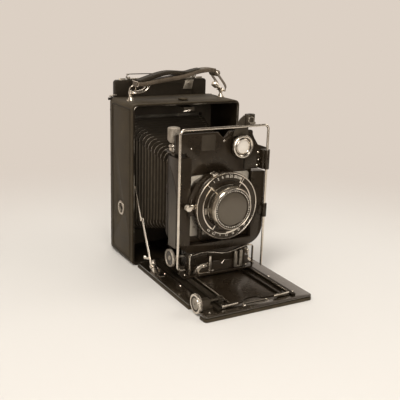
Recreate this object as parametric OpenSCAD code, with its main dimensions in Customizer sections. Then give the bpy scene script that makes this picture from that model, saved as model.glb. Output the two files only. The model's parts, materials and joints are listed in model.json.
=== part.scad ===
// Folding plate camera, opened for use: box body, drop bed with a racked focusing track,
// U-shaped lens standard with rise and cross movements, rim-set shutter and bellows.
// X runs to the right seen from the front, the lens looks along -Y and Z is up.
// The origin is the mouth of the tripod bush in the underside, at mid depth of the body.
// Places along Y are given as the distance d in front of the body's front face.

/* [Body] */
// Width over the leather
body_w = 110; // [104:1:120]
// Height over the leather
body_h = 150; // [144:1:160]
// Depth from the front face to the back of the shell
body_d = 51; // [46:1:60]
// Metal wall of the shell
wall_t = 1.9; // [1.5:0.1:2.5]
// Leather covering
leather_t = 0.8; // [0.5:0.1:1.2]
// Outer corner radius
corner_r = 5; // [3:0.5:8]
// Bright bead round the opening, how far it stands proud
rim_t = 0.6; // [0.4:0.1:1.2]
// Picture window width
gate_w = 84; // [76:1:88]
// Picture window height
gate_h = 114; // [104:1:118]
// Thickness of the plate with the picture window
gate_t = 2; // [1:0.5:3]

/* [Tripod bushes] */
// Bore radius of both bushes, three-eighths thread
bush_r = 4.76; // [3:0.01:5]
// Outer radius of both bushes
bush_outer_r = 7; // [6:0.5:8]
// Length of the bushes
bush_len = 6; // [5:0.5:8]
// Height of the side bush
side_bush_z = 49.6; // [40:1:60]

/* [Back and plate holder] */
// Thickness of the back frame
back_t = 3; // [2:0.5:4]
// Holder width
holder_w = 97; // [94:0.5:98]
// Top of the holder above the table
holder_top = 165; // [158:1:172]
// Bottom of the holder above the table
holder_low = 6; // [3:0.5:12]
// Holder thickness
holder_t = 6.4; // [5.5:0.1:8]
// Dark slide thickness
slide_t = 0.6; // [0.4:0.1:1]
// Width of the wire bail on the dark slide
bail_w = 74; // [50:1:84]
// Height of the bail above the holder
bail_h = 6; // [4:0.5:9]

/* [Carrying strap] */
// Distance between the two strap posts
post_gap = 94; // [84:1:98]
// Height of the strap pivots above the body top
post_rise = 7; // [5:0.5:9]
// Strap width
strap_w = 12; // [9:0.5:14]
// Strap thickness
strap_t = 2.6; // [2:0.1:3.2]

/* [Bed] */
// Clearance between the bed's edge and the opening
bed_side_gap = 0.8; // [0.5:0.1:1.2]
// Distance from the body front to the bed's front edge
bed_reach = 133; // [128:1:140]
// Leather-covered board
board_t = 3.4; // [2.6:0.1:4]
// Metal liner on top of the board
liner_t = 1.2; // [0.8:0.1:1.6]
// Bed hinge height above the table
hinge_z = 2; // [2:0.1:2.4]
// Radius of the hinge knuckles
knuckle_r = 2; // [1.6:0.1:2]

/* [Focusing track] */
// Half the width of the sliding track plate
track_half = 35; // [34:0.5:36]
// Inner rails, distance of their inner face from the middle
rail_x = 23.2; // [22.5:0.1:24]
// Outer rails, distance of their inner face from the middle
outer_rail_x = 31.5; // [31:0.1:32]
// Rail width
rail_w = 1.5; // [1:0.1:1.6]
// Rail height above the track plate
rail_h = 1.8; // [1.4:0.1:2]
// Front end of the track in front of the body
track_front = 126; // [122:1:128]
// Rear end of the track in front of the body
track_rear = 22; // [14:1:30]
// Distance of the focusing shaft from the body front
focus_d = 115; // [112:1:117]
// Radius of the focusing knob
focus_knob_r = 8.2; // [7:0.1:8.6]
// Thickness of the two side knobs
knob_t = 3; // [2:0.1:3.4]
// Pitch radius of the focusing pinion
pinion_r = 2.6; // [2.4:0.1:2.8]
// Teeth of the pinion
pinion_teeth = 10; // [10:1:12]

/* [Struts] */
// Height of the strut pivot on the body
strut_top_z = 75; // [68:1:82]
// Distance of the strut foot from the body front
strut_foot_d = 33; // [30:1:36]
// Height of the strut foot
strut_foot_z = 10.5; // [10:0.5:13]
// Length of the upper strut link
strut_upper_len = 30; // [26:1:34]

/* [Lens standard] */
// Width over the two uprights
std_w = 85; // [82:1:88]
// Width of each upright
upright_w = 12; // [11:0.5:13]
// Front face of the uprights, in front of the body
std_front = 66; // [64:1:68]
// Depth of the uprights
std_depth = 20; // [18:1:21]
// Underside of the U frame above the table
std_low = 31; // [30:0.5:33]
// Height of the left upright's top
left_top = 114; // [110:1:116]
// Height of the right upright's top
right_top = 97; // [92:1:98]
// Bottom corner radius of the U frame
std_corner_r = 16; // [8:1:18]
// Radius of the cross-movement knob
shift_knob_r = 8; // [6:0.1:8.2]

/* [Lens board] */
// Height of the lens axis above the table
lens_z = 72; // [70:0.5:74]
// Top edge of the lens board
board_top = 133; // [130:1:135]
// Thickness of the lens board
lens_board_t = 2; // [1.5:0.1:2.5]
// Radius of the lens hole
lens_hole_r = 20; // [19:0.5:22]
// Bright square plate behind the shutter, width
flange_w = 58; // [54:1:60]
// Bright square plate behind the shutter, height
flange_h = 53; // [50:1:56]
// Radius of the rising-front knob
rise_knob_r = 5.2; // [4:0.1:5.6]
// Height of the rising-front knob
rise_knob_h = 12.5; // [9:0.5:14]

/* [Shutter and lens] */
// Radius of the shutter case
case_r = 28; // [27:0.5:28.5]
// Outer radius of the bright speed ring
ring_r = 29.5; // [29:0.1:31]
// Outer radius of the dial face
dial_r = 26.2; // [25.5:0.1:26.6]
// Outer radius of the lens barrel
barrel_r = 19; // [18.5:0.1:19.2]
// Radius of the front glass
glass_r = 14.2; // [13:0.1:15]
// How far the barrel stands in front of the dial
barrel_len = 11.5; // [9:0.5:14]

/* [Finder] */
// Finder distance from the middle
finder_x = 18.8; // [17:0.1:21]
// Finder height
finder_z = 120.3; // [119:0.1:122]
// Side of the finder housing
finder_side = 17.5; // [16:0.1:18]
// Outer radius of the finder ring
finder_ring_r = 10; // [9:0.1:10.4]

/* [Wire frame finder] */
// Width between the wire's side bars, middle to middle
wire_w = 85; // [82:0.5:86]
// Height of the left bar's foot
wire_low = 17.7; // [17.2:0.1:19]
// Upper bar height
wire_high = 138; // [137:0.1:140]
// Wire radius
wire_r = 1.1; // [0.8:0.1:1.2]

/* [Bellows] */
// Number of pleats
pleats = 24; // [18:1:26]
// Pleat depth
pleat_depth = 5; // [3:0.5:6]
// Half width of the bellows at the back
bellows_back_x = 46.5; // [44:0.5:48]
// Half width of the bellows at the front
bellows_front_x = 28; // [26:0.5:29]

/* [Hidden] */
$fn = 48;
gap = 0.3;        // clearance between pieces that move past each other
run = 0.05;       // radial clearance of a shaft in its bore

// Distance d in front of the body front, as a Y coordinate
function fy(d) = -body_d / 2 - d;

inner_w = body_w - 2 * (wall_t + leather_t);
bed_w = inner_w - 2 * bed_side_gap;
floor_z = wall_t + leather_t;
ceil_z = body_h - wall_t - leather_t;
back_d = -body_d;                        // back face of the shell, as a distance in front
gate_z = (floor_z + ceil_z) / 2;         // middle of the picture window
bush_proud = 0.5;
bush_flange_t = 1;
stem_r = 1.6;
button_r = 4.6;
button_d = -14;                          // the bed release button sits behind the front face
button_x = 2;
button_t = 1.6;

channel_t = 1.8;                         // side walls of the back's channels
holder_front = back_d - back_t - gap;    // front face of the holder
holder_back = holder_front - holder_t;
channel_back = holder_back - gap;
slide_front = holder_front - 1;          // the dark slide's front face
slide_half = gate_w / 2 + 2.5;
slot_half = slide_half + gap;
plate_w = gate_w + 5;                    // the sensitive plate, held by its edges
plate_h = gate_h + 5;
plate_glass_t = 1.3;
slide_back = slide_front - slide_t;
slide_top = holder_top + 1.7;
bail_r = 0.6;
bail_pin = 4.4;                          // bent ends that turn in the slide's ears
latch_x = 30;
latch_z = holder_top - 4;
latch_t = 0.9;

post_d = -22;                            // strap posts behind the front face
post_r = 2.3;
strap_z = body_h + post_rise;            // pivot line of the strap
eye_r = 0.9;
strap_end = [post_gap / 2 - 8.5, strap_z + 17.6];   // pin of the right link
strap_x = [-post_gap / 2 + 11, post_gap / 2 - 10];  // ends of the leather band
strap_lift = [2, 18];                    // height of those ends above the pivots
strap_arch = 3;
strap_loop = 3.2;                          // how far the two layers part at the right end

hinge_d = 2.2;                           // hinge line in front of the body
board_rear = hinge_d + knuckle_r + 0.6;
bed_top = board_t + liner_t;
pin_r = 0.9;
knuckle_w = 6;
knuckle_x = [28, 42];                    // left edges of the bed's knuckles on the right side
hinge_mid = (knuckle_x[0] + knuckle_x[1]) / 2;
hinge_leaf = 14;                         // half the length of a hinge leaf

track_z = bed_top + 0.4;                 // underside of the track plate
plate_t = 0.6;
plate_z = track_z + plate_t;             // top of the track plate
rail_top = plate_z + rail_h;
guide_t = 2.2;
guide_d = [10, bed_reach - 5];
guide_lip_z = plate_z + gap;
guide_lip_t = 0.8;
pinion_module = 2 * pinion_r / pinion_teeth;
tooth_add = pinion_module;
tooth_ded = pinion_module * 1.2;
tooth_pitch = PI * pinion_module;
rack_pitch_z = plate_z + tooth_ded;
focus_z = rack_pitch_z + pinion_r;       // height of the focusing shaft
shaft_r = 1.1;
pinion_x = (rail_x + rail_w + outer_rail_x) / 2;
pinion_w = 4;
focus_knob_x = bed_w / 2 - 0.4;          // outer face of the focusing knob
bearing_x = [track_half + gap + guide_t, focus_knob_x - knob_t - 1];
notch_len = 2 * focus_knob_r + 2;
rack_rear = 40;
stop_w = 15;
stop_x = 25;                             // middle of each front stop
wave_d = track_front - 6;                // front edge of the plate between the stops
keeper_d = bed_reach - 8.5;
keeper_half = 12;
keeper_r = 1.8;

strut_top_d = -2;
strut_t = 0.8;
strut_x = inner_w / 2 - 0.4;             // outer face of the upper strut
strut_w = 3.4;
strut_lean = atan2(strut_foot_d - strut_top_d, strut_top_z - strut_foot_z);
lower_x = strut_x - strut_t - gap;       // outer face of the lower strut
knee_d = strut_top_d + strut_upper_len * sin(strut_lean);
knee_z = strut_top_z - strut_upper_len * cos(strut_lean);
stud_r = 1.2;

std_rear = std_front - std_depth;
std_in = std_w / 2 - upright_w;          // inner face of the uprights
std_bar = 7;                             // height of the U frame's cross bar
std_back_t = 2;
foot_half = 30;                          // half the width of the foot
std_back_d = std_rear - std_back_t;      // rear face of the bellows plate
std_back_top = 102;
std_back_low = std_low + 5;
window_low = 46;
window_high = std_back_top - 3;
window_half = 25;

base_z = rail_top + gap;                 // underside of the carriage
base_t = 1.5;
base_top = base_z + base_t;
base_half = 35;
base_d = [std_rear + 6, std_front - 0.4];
bar_top = 17;
shift_z = 25.3;                          // height of the cross-movement screw
shift_d = 55;
bar_half = 3;
bar_d = [shift_d - bar_half, shift_d + bar_half];    // cross bar that the standard shifts on
shift_screw_r = 1.5;
shift_knob_x = std_w / 2 + 2;            // outer face of the cross-movement knob
shift_travel = 5;
lug_w = 6;
handle_t = 0.9;                          // the handle is a bent strip of this thickness
handle_d = [63.8, 66.4];
handle_x = [-30, 35];                    // outer faces of its two legs
handle_top = std_low - 0.5;
handle_dip = 3.8;                        // how far the strip dips right of the middle
handle_crest = -17;                      // left crest of the wave
handle_wave = 46;                        // from crest to crest
grip_d = [61.2, 63.5];
grip_top = 25.5;

lb_front = 60;                           // front face of the lens board
lb_back = lb_front - lens_board_t;
groove = 2;                              // depth of the board's grooves in the uprights
lb_half = std_in + groove - gap;
lb_low = std_low + std_bar + gap;
lb_wide_z = left_top + 3;                // the board widens above the left upright
rise_x = -(std_w / 2 - 3);
rise_d = std_rear + 4.5;
rise_screw_r = 1.5;
rise_arm_t = 1.6;
nut_r = 3.6;
nut_h = 4;
rise_knob_z = lb_wide_z + rise_arm_t + nut_h + 3;
rise_travel = 12;
rise_bore_low = left_top - 22;

flange_t = 1.4;
case_rear = lb_front + flange_t;
case_front = 69.2;                       // front face of the wide part of the case
hub_front = 71;                          // front face of the hub that carries the dial
hub_r = 25.2;
case_bore = 17;
dial_front = hub_front + 2.5;
ring_in = dial_r + gap;
ring_front = hub_front + 4;
aperture_in = barrel_r + run;
aperture_out = 22;
aperture_front = dial_front + gap + 0.8;
barrel_front = dial_front + barrel_len;
cheek_rear = std_front + gap;            // the case's angular cheek lies in front of the upright
cheek_front = cheek_rear + 1.3;
socket_x = -20;                          // cable release socket under the case
socket_d = 64.6;
socket_r = 1.4;
socket_z = [lens_z - 28, lens_z - 18];
glass_rear = dial_front + 2.5;
glass_crown = 3;
rear_cell_r = 13;
rear_cell_back = std_back_d - 1;
rear_glass_r = 10.5;
lever_pin = [-29.5, lens_z + 1.3];
lever_pin_r = 0.9;
lever_arm = 5.5;
cock_angle = 24;                         // the cocking lever's tab, left of the top

bracket_t = 1.4;
bracket_left = 24;
bracket_right = 46;
bracket_low = right_top + 2;
bracket_high = bracket_low + 18;
wire_x = wire_w / 2;
wire_d = std_front + 2;                  // plane of the wire frame
wire_corner = 4;
wire_toe = 6.8;                          // reach of the left bar's foot
wire_foot = 9;                           // lower end of the right bar
barrel_wall = 1.2;
clip_z = [56, 68];

finder_back = lb_front + bracket_t + gap;
finder_front = 65.2;
finder_ring_d = wire_d - wire_r - gap - 0.2;
finder_pivot_r = 2.5;
finder_glass_r = 6.6;
finder_corner_r = 6;
level_x = 7;                             // from the finder axis
level_r = 4.4;
level_z = [16.7, 27];                    // from the finder axis

bellows_rear = back_d + 0.5 + gate_t;
bellows_front = std_back_d - gap;
bellows_back_z = [20, 131];
bellows_front_z = [45, 98];
bellows_wall = 1;
bellows_cut = 6;                         // corner cut of the bellows section

// Helpers: a flat outline in the XZ plane made d0 to d1 thick, a block, and rods on each axis
module slab(d0, d1) {
    translate([0, fy(d0), 0]) rotate([90, 0, 0]) linear_extrude(d1 - d0) children();
}

module block(x, d, z) {
    translate([x[0], fy(d[1]), z[0]]) cube([x[1] - x[0], d[1] - d[0], z[1] - z[0]]);
}

module rod_x(x, d, z, r) {
    translate([x[0], fy(d), z]) rotate([0, 90, 0]) cylinder(r = r, h = x[1] - x[0]);
}

module rod_y(x, d, z, r) {
    translate([x, fy(d[0]), z]) rotate([90, 0, 0]) cylinder(r = r, h = d[1] - d[0]);
}

module rod_z(x, d, z, r) {
    translate([x, fy(d), z[0]]) cylinder(r = r, h = z[1] - z[0]);
}

module round_box(x, z, r) {
    translate([x[0] + r, z[0]]) square([x[1] - x[0] - 2 * r, z[1] - z[0]]);
    translate([x[0], z[0] + r]) square([x[1] - x[0], z[1] - z[0] - 2 * r]);
    for (cx = [x[0] + r, x[1] - r], cz = [z[0] + r, z[1] - r]) translate([cx, cz]) circle(r);
}

module both_sides() {
    children();
    mirror([1, 0, 0]) children();
}

// A turned piece on the lens axis; points are [radius, distance in front]
module turned(points) {
    translate([0, fy(0), lens_z]) rotate([90, 0, 0]) rotate_extrude($fn = 96) polygon(points);
}

// Body

module body_outline(inset) {
    round_box([-body_w / 2 + inset, body_w / 2 - inset], [0, body_h - inset], corner_r - inset);
}

module body_shell() {
    color("#2b2420") difference() {
        slab(back_d, 0) difference() {
            body_outline(leather_t);
            round_box([-inner_w / 2, inner_w / 2], [floor_z, ceil_z], 2.6);
        }
        rod_x([-body_w / 2, -inner_w / 2 + 1], back_d / 2, side_bush_z, bush_outer_r - 1);
        rod_z(0, back_d / 2, [-1, floor_z + 1], bush_outer_r - 1);
        rod_z(button_x, button_d, [ceil_z - 1, body_h + 1], stem_r + run);
        both_sides() rod_z(post_gap / 2, post_d, [ceil_z - 1, body_h], 1.5);
    }
    color("silver") both_sides() strut_stud();
}

// Stud riveted to the inner wall; the upper strut turns on it
module strut_stud() {
    rod_x([strut_x - strut_t - 0.2, inner_w / 2 + wall_t / 2], strut_top_d, strut_top_z, stud_r);
}

module body_leather() {
    color("#4a3f36") difference() {
        slab(back_d, 0) difference() {
            body_outline(0);
            body_outline(leather_t);
            translate([-body_w, -1]) square([2 * body_w, 1.6]);
        }
        rod_x([-body_w, -inner_w / 2], back_d / 2, side_bush_z, bush_outer_r);
        rod_z(button_x, button_d, [ceil_z, body_h + 1], button_r + gap);
        both_sides() rod_z(post_gap / 2, post_d, [ceil_z, body_h + 1], post_r + 1.2);
    }
}

module opening_rim() {
    bead = 1.1;
    color("silver") slab(0, rim_t) difference() {
        round_box([-inner_w / 2 - bead, inner_w / 2 + bead], [floor_z, ceil_z + bead], 3.2);
        round_box([-inner_w / 2, inner_w / 2], [floor_z - 9, ceil_z], 2.6);
        translate([-body_w / 2, 0]) square([body_w, bed_top + 3]);
    }
}

module gate_window() {
    translate([-gate_w / 2, gate_z - gate_h / 2]) square([gate_w, gate_h]);
}

module picture_gate() {
    color("#1d1a18") slab(back_d + 0.5, back_d + 0.5 + gate_t) difference() {
        round_box([-inner_w / 2, inner_w / 2], [floor_z, ceil_z], 2.6);
        gate_window();
    }
}

module back_frame() {
    side = holder_w / 2 + gap;
    color("#1d1a18") {
        slab(back_d - back_t, back_d) difference() {
            body_outline(leather_t);
            gate_window();
        }
        both_sides() {
            block([side, side + channel_t], [channel_back, back_d - back_t], [2, body_h - leather_t]);
            block([side - 2, side + channel_t], [channel_back - 1.2, channel_back],
                [2, body_h - leather_t]);
            block([side + channel_t, body_w / 2 + 0.6], [back_d - back_t - 1.6, back_d - back_t],
                [body_h - 3, body_h - leather_t]);
        }
        block([-side, side], [channel_back, back_d - back_t], [2, holder_low - gap]);
    }
}

module tripod_bush() {
    difference() {
        union() {
            cylinder(r = bush_outer_r - 1, h = bush_len);
            translate([0, 0, bush_len - bush_flange_t]) cylinder(r = bush_outer_r,
                h = bush_flange_t - 0.2);
        }
        translate([0, 0, -1]) cylinder(r = bush_r, h = bush_len + 2);
    }
}

// The base bush is flush with the underside; the side bush shows a bright ring
module tripod_bushes() {
    color("silver") {
        difference() {
            rod_z(0, back_d / 2, [0, bush_len], bush_outer_r - 1);
            rod_z(0, back_d / 2, [-1, bush_len + 1], bush_r);
        }
        difference() {
            union() {
                rod_x([-body_w / 2 - bush_proud, -body_w / 2 - bush_proud + bush_len],
                    back_d / 2, side_bush_z, bush_outer_r - 1);
                rod_x([-body_w / 2 - bush_proud, -body_w / 2 + leather_t],
                    back_d / 2, side_bush_z, bush_outer_r);
            }
            rod_x([-body_w, 0], back_d / 2, side_bush_z, bush_r);
        }
    }
}

module strap_posts() {
    color("silver") both_sides() difference() {
        union() {
            rod_z(post_gap / 2, post_d, [ceil_z, strap_z], 1.5);
            rod_z(post_gap / 2, post_d, [body_h - leather_t, body_h + 1.4], post_r + 1.2);
            rod_z(post_gap / 2, post_d, [body_h + 1.4, body_h + 3], post_r);
            translate([post_gap / 2, fy(post_d), strap_z]) rotate([0, 90, 0])
                cylinder(r = 2.4, h = 2.4, center = true);
        }
        rod_x([0, body_w], post_d, strap_z, eye_r + run);
    }
}

module knuckles(offset_x) {
    for (x = [for (k = knuckle_x) each [k + offset_x, -k + offset_x]])
        rod_x([x, x + knuckle_w - gap], hinge_d, hinge_z, knuckle_r);
}

// Body half of the bed hinge: two knuckles and a pin on each side, riveted to the floor edge
module body_hinge() {
    color("silver") {
        difference() {
            union() {
                knuckles(-knuckle_w);
                for (x = [for (k = knuckle_x) each [k - knuckle_w, -k - knuckle_w]])
                    block([x, x + knuckle_w - gap], [0, hinge_d], [hinge_z - 1.2, hinge_z + 0.5]);
            }
            rod_x([-body_w, body_w], hinge_d, hinge_z, pin_r);
        }
        for (s = [-1, 1]) {
            half = (knuckle_x[1] - knuckle_x[0]) / 2 + knuckle_w;
            rod_x([s * hinge_mid - half, s * hinge_mid + half], hinge_d, hinge_z, pin_r);
        }
    }
}

// Bellows: rings of an eight-cornered section, every second one drawn in by the pleat depth

function mix(a, b, t) = a + (b - a) * t;

function ring_points(t, inset) = let (
    hw = mix(bellows_back_x, bellows_front_x, t) - inset,
    z0 = mix(bellows_back_z[0], bellows_front_z[0], t) + inset,
    z1 = mix(bellows_back_z[1], bellows_front_z[1], t) - inset,
    y = fy(mix(bellows_rear, bellows_front, t)),
    c = bellows_cut
) [[hw - c, y, z0], [hw, y, z0 + c], [hw, y, z1 - c], [hw - c, y, z1],
    [-hw + c, y, z1], [-hw, y, z1 - c], [-hw, y, z0 + c], [-hw + c, y, z0]];

module bellows() {
    rings = 2 * pleats + 1;
    outer = [for (i = [0:rings - 1]) each ring_points(i / (rings - 1), i % 2 == 0 ? pleat_depth : 0)];
    inner = [for (i = [0:rings - 1])
        each ring_points(i / (rings - 1), bellows_wall + (i % 2 == 0 ? pleat_depth : 0))];
    n = 8;
    total = rings * n;
    sides = [for (i = [0:rings - 2], j = [0:n - 1]) let (
        a = i * n + j, b = i * n + (j + 1) % n, c = a + n, e = b + n
    ) each [[a, b, e], [a, e, c], [total + a, total + e, total + b], [total + a, total + c, total + e]]];
    last = (rings - 1) * n;
    ends = [for (j = [0:n - 1]) let (k = (j + 1) % n) each [
        [j, total + j, total + k], [j, total + k, k],
        [last + j, last + k, total + last + k], [last + j, total + last + k, total + last + j]]];
    color("#1c1916") polyhedron(points = concat(outer, inner), faces = concat(sides, ends));
}

// Bed release: a button in the body top with a spring catch under the top wall

module bed_release_button() {
    color("#3a312a") {
        rod_z(button_x, button_d, [body_h + 0.6, body_h + 0.6 + button_t], button_r);
        rod_z(button_x, button_d, [ceil_z - 2, body_h + 0.6], stem_r);
    }
}

module bed_catch() {
    half = 5.5;
    color("silver") {
        block([button_x - half, button_x + half], [button_d - 3, -1.4], [ceil_z - 3, ceil_z - 2]);
        block([button_x - half, button_x + half], [-2.4, -1.4], [ceil_z - 6, ceil_z - 3]);
    }
}

// Plate holder in the channels of the back, with its dark slide in front of the plate

module plate_holder() {
    h0 = gate_z - gate_h / 2;
    color("#1d1a18") difference() {
        slab(holder_back, holder_front) union() {
            round_box([-holder_w / 2, holder_w / 2], [holder_low, holder_top], 3);
            translate([-holder_w / 2, holder_low]) square([holder_w, 20]);
        }
        slab(slide_front - 0.5, holder_front + 1) translate([-gate_w / 2, h0])
            square([gate_w, gate_h]);
        block([-slot_half, slot_half], [slide_back - gap, slide_front + gap],
            [h0 - 3, holder_top + 1]);
        block([-plate_w / 2 - 0.5, plate_w / 2 + 0.5], [slide_back - 2.4, slide_back],
            [gate_z - plate_h / 2, gate_z + plate_h / 2 + 0.6]);
    }
    color("silver") rod_y(latch_x, [holder_front, holder_front + gap + 0.2], latch_z, 1.4);
}

// Glass plate with the sensitive layer, behind the dark slide
module glass_plate() {
    d = slide_back - gap - 0.2;
    color("#c9d0cc", 0.6) block([-plate_w / 2, plate_w / 2], [d - plate_glass_t, d],
        [gate_z - plate_h / 2, gate_z + plate_h / 2]);
}

module holder_latch() {
    front = holder_front + gap;
    color("silver") difference() {
        slab(front, front + latch_t) polygon([[latch_x - 8, latch_z - 6], [latch_x + 2, latch_z - 6],
            [latch_x + 4, latch_z + 3], [latch_x - 5, latch_z + 3]]);
        rod_y(latch_x, [front - 1, front + 2], latch_z, 1.4 + run);
    }
    color("silver") rod_y(latch_x, [front + latch_t, front + latch_t + 0.5], latch_z, 2);
}

module dark_slide() {
    mid = (slide_front + slide_back) / 2;
    x = bail_w / 2;
    color("#3b3530") difference() {
        union() {
            block([-slide_half, slide_half], [slide_back, slide_front],
                [gate_z - gate_h / 2 - 2.4, slide_top]);
            both_sides() rod_x([x - 3.5, x - 0.9], mid, slide_top, 1.3);
        }
        both_sides() {
            rod_x([x - bail_pin - gap, x + 0.9], mid, slide_top, bail_r + run);
            block([x - bail_r - gap, x + bail_r + gap], [slide_back - 1, slide_front + 1],
                [slide_top - 1.1, slide_top + 2]);
        }
    }
}

module dark_slide_bail() {
    d = (slide_front + slide_back) / 2;
    top = slide_top + bail_h;
    x = bail_w / 2;
    color("silver") {
        for (s = [-1, 1]) {
            rod_z(s * x, d, [slide_top - bail_r, top], bail_r);
            rod_x(s > 0 ? [x - bail_pin, x] : [-x, -x + bail_pin], d, slide_top, bail_r);
            translate([s * x, fy(d), top]) sphere(bail_r, $fn = 24);
        }
        rod_x([-x, x], d, top, bail_r);
    }
}

// Carrying strap: a doubled leather band between two fittings that turn in the posts

function strap_curve(t) = [mix(strap_x[0], strap_x[1], t),
    strap_z + mix(strap_lift[0], strap_lift[1], t) + strap_arch * sin(180 * t)];

module strap_leather() {
    n = 10;
    lower = [for (i = [0:n]) strap_curve(i / n)];
    upper = [for (i = [n:-1:0])
        strap_curve(i / n) + [0, strap_t + strap_loop * sin(min(180, 300 * i / n))]];
    half = strap_w / 2;
    color("#5a4a3c") difference() {
        union() {
            slab(post_d - half, post_d + half) polygon(concat(lower, upper));
            rod_y(strap_end[0], [post_d - half, post_d + half], strap_end[1], strap_loop);
        }
        rod_y(strap_end[0], [post_d - half - 1, post_d + half + 1], strap_end[1], 1.2);
    }
}

// Fork that spans the eye of a post, in the plane of the band
module strap_fork(x) {
    outer = 4.2;
    inner = 1.7;
    slab(post_d - 1.5, post_d + 1.5) polygon([[x - outer, strap_z - 1.6], [x - inner, strap_z - 1.6],
        [x - inner, strap_z + 3], [x + inner, strap_z + 3], [x + inner, strap_z - 1.6],
        [x + outer, strap_z - 1.6], [x + outer, strap_z + 3.4], [x + outer - 1.6, strap_z + 5],
        [x - outer + 1.6, strap_z + 5], [x - outer, strap_z + 3.4]]);
    rod_x([x - outer + 0.4, x + outer - 0.4], post_d, strap_z, eye_r);
}

module strap_fittings() {
    half = strap_w / 2;
    x = post_gap / 2;
    color("silver") {
        strap_fork(-x);
        slab(post_d - half, post_d + half) polygon([[strap_x[0] - 3.5, strap_z + 1.2],
            [strap_x[0], strap_z + 1.2], [strap_x[0], strap_z + 5.2],
            [strap_x[0] - 2, strap_z + 6.4], [strap_x[0] - 4.5, strap_z + 6.4]]);
        slab(post_d - 1.5, post_d + 1.5) polygon([[-x + 4, strap_z + 1.4], [strap_x[0] - 3, strap_z + 1.4],
            [strap_x[0] - 3, strap_z + 6], [-x + 4, strap_z + 4.6]]);
        strap_fork(x);
        block([x - 2.4, x + 1], [post_d - half - 1.4, post_d + half + 1.4], [strap_z + 5, strap_z + 6.4]);
        for (d = [post_d - half - 1.4, post_d + half + 0.2]) {
            slab(d, d + 1.2) polygon([[x - 2.4, strap_z + 5], [x + 1, strap_z + 6.4],
                [strap_end[0] + 1.8, strap_end[1] + 0.4], [strap_end[0] - 1.6, strap_end[1] - 0.6]]);
            rod_y(strap_end[0], [d, d + 1.2], strap_end[1], 1.9);
        }
        rod_y(strap_end[0], [post_d - half - 0.4, post_d + half + 0.4], strap_end[1], 1.15);
    }
}

// Bed

module bed_outline(inset) {
    r = 3;
    polygon(concat(
        [[-bed_w / 2 + inset, fy(board_rear)], [bed_w / 2 - inset, fy(board_rear)]],
        [for (a = [0:15:90]) [bed_w / 2 - r + (r - inset) * cos(a),
            fy(bed_reach) + r - (r - inset) * sin(a)]],
        [for (a = [90:15:180]) [-bed_w / 2 + r + (r - inset) * cos(a),
            fy(bed_reach) + r - (r - inset) * sin(a)]]));
}

module knob_notch() {
    block([-bed_w, -focus_knob_x + knob_t + 0.8],
        [focus_d - notch_len / 2, focus_d + notch_len / 2], [-1, 30]);
}

module bed_board() {
    color("#4a3f36") difference() {
        union() {
            linear_extrude(board_t - 0.8) bed_outline(0);
            translate([0, 0, board_t - 0.8]) linear_extrude(0.8) bed_outline(1.4);
        }
        knob_notch();
        hinge_relief();
    }
}

module hinge_relief() {
    half = hinge_leaf + 1;
    for (s = [-1, 1]) block([s * hinge_mid - half, s * hinge_mid + half],
        [0, board_rear + 1.2], [-1, 30]);
}

module bed_liner() {
    color("#14110f") difference() {
        translate([0, 0, board_t]) linear_extrude(liner_t) bed_outline(0);
        knob_notch();
        hinge_relief();
        keeper(keeper_r, [board_t - 1, bed_top + 1]);
    }
}

// Long oval in the bed's front, which the catch grips when the bed is shut
module keeper(r, z) {
    translate([-keeper_half + r, fy(keeper_d) - r, z[0]]) cube([2 * (keeper_half - r), 2 * r, z[1] - z[0]]);
    for (x = [-keeper_half + r, keeper_half - r]) rod_z(x, keeper_d, z, r);
}

// Bed half of the hinge, each knuckle between two of the body's
module bed_hinge() {
    plate_d = board_rear + 1.2;
    color("silver") difference() {
        union() {
            knuckles(0);
            for (x = [for (k = knuckle_x) each [k, -k]])
                block([x, x + knuckle_w - gap], [hinge_d, plate_d], [hinge_z - 0.9, hinge_z + 0.9]);
            for (s = [-1, 1]) block([s * hinge_mid - hinge_leaf, s * hinge_mid + hinge_leaf],
                [plate_d - 1, plate_d],
                [hinge_z - 0.9, bed_top]);
        }
        rod_x([-body_w, body_w], hinge_d, hinge_z, pin_r + run);
    }
}

module track_guides() {
    x = track_half + gap;
    color("#2a2623") both_sides() {
        block([x, x + guide_t], guide_d, [bed_top, guide_lip_z + guide_lip_t]);
        block([x - 1.6, x + guide_t], guide_d, [guide_lip_z, guide_lip_z + guide_lip_t]);
    }
}

// Ears that carry the strut feet, each with its spring catch, and the keeper's bright rim
module bed_fittings() {
    x = lower_x - strut_t - gap;
    color("silver") both_sides() {
        block([x - 1.2, x], [strut_foot_d - 4, strut_foot_d + 4], [bed_top, strut_foot_z]);
        rod_x([x - 1.2, x], strut_foot_d, strut_foot_z, 2.6);
        rod_x([x, lower_x + 0.2], strut_foot_d, strut_foot_z, stud_r);
        block([x - 6.4, x - 1.2], [strut_foot_d - 7, strut_foot_d + 4], [bed_top, bed_top + 1]);
        block([x - 6.4, x - 5.4], [strut_foot_d - 7, strut_foot_d + 4], [bed_top + 1, bed_top + 4]);
    }
    color("silver") difference() {
        keeper(keeper_r, [board_t, bed_top + 0.1]);
        keeper(keeper_r - 0.6, [board_t + 0.6, bed_top + 1]);
    }
}

module focus_bearing() {
    color("#2a2623") difference() {
        union() {
            block([-bearing_x[1], -bearing_x[0]], [focus_d - 5, focus_d + 5], [bed_top, bed_top + 2]);
            block([-bearing_x[1] + 1, -bearing_x[0] - 1], [focus_d - 3, focus_d + 3],
                [bed_top + 2, focus_z + 2.4]);
        }
        rod_x([-body_w, 0], focus_d, focus_z, shaft_r + run);
    }
}

// Track

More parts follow.
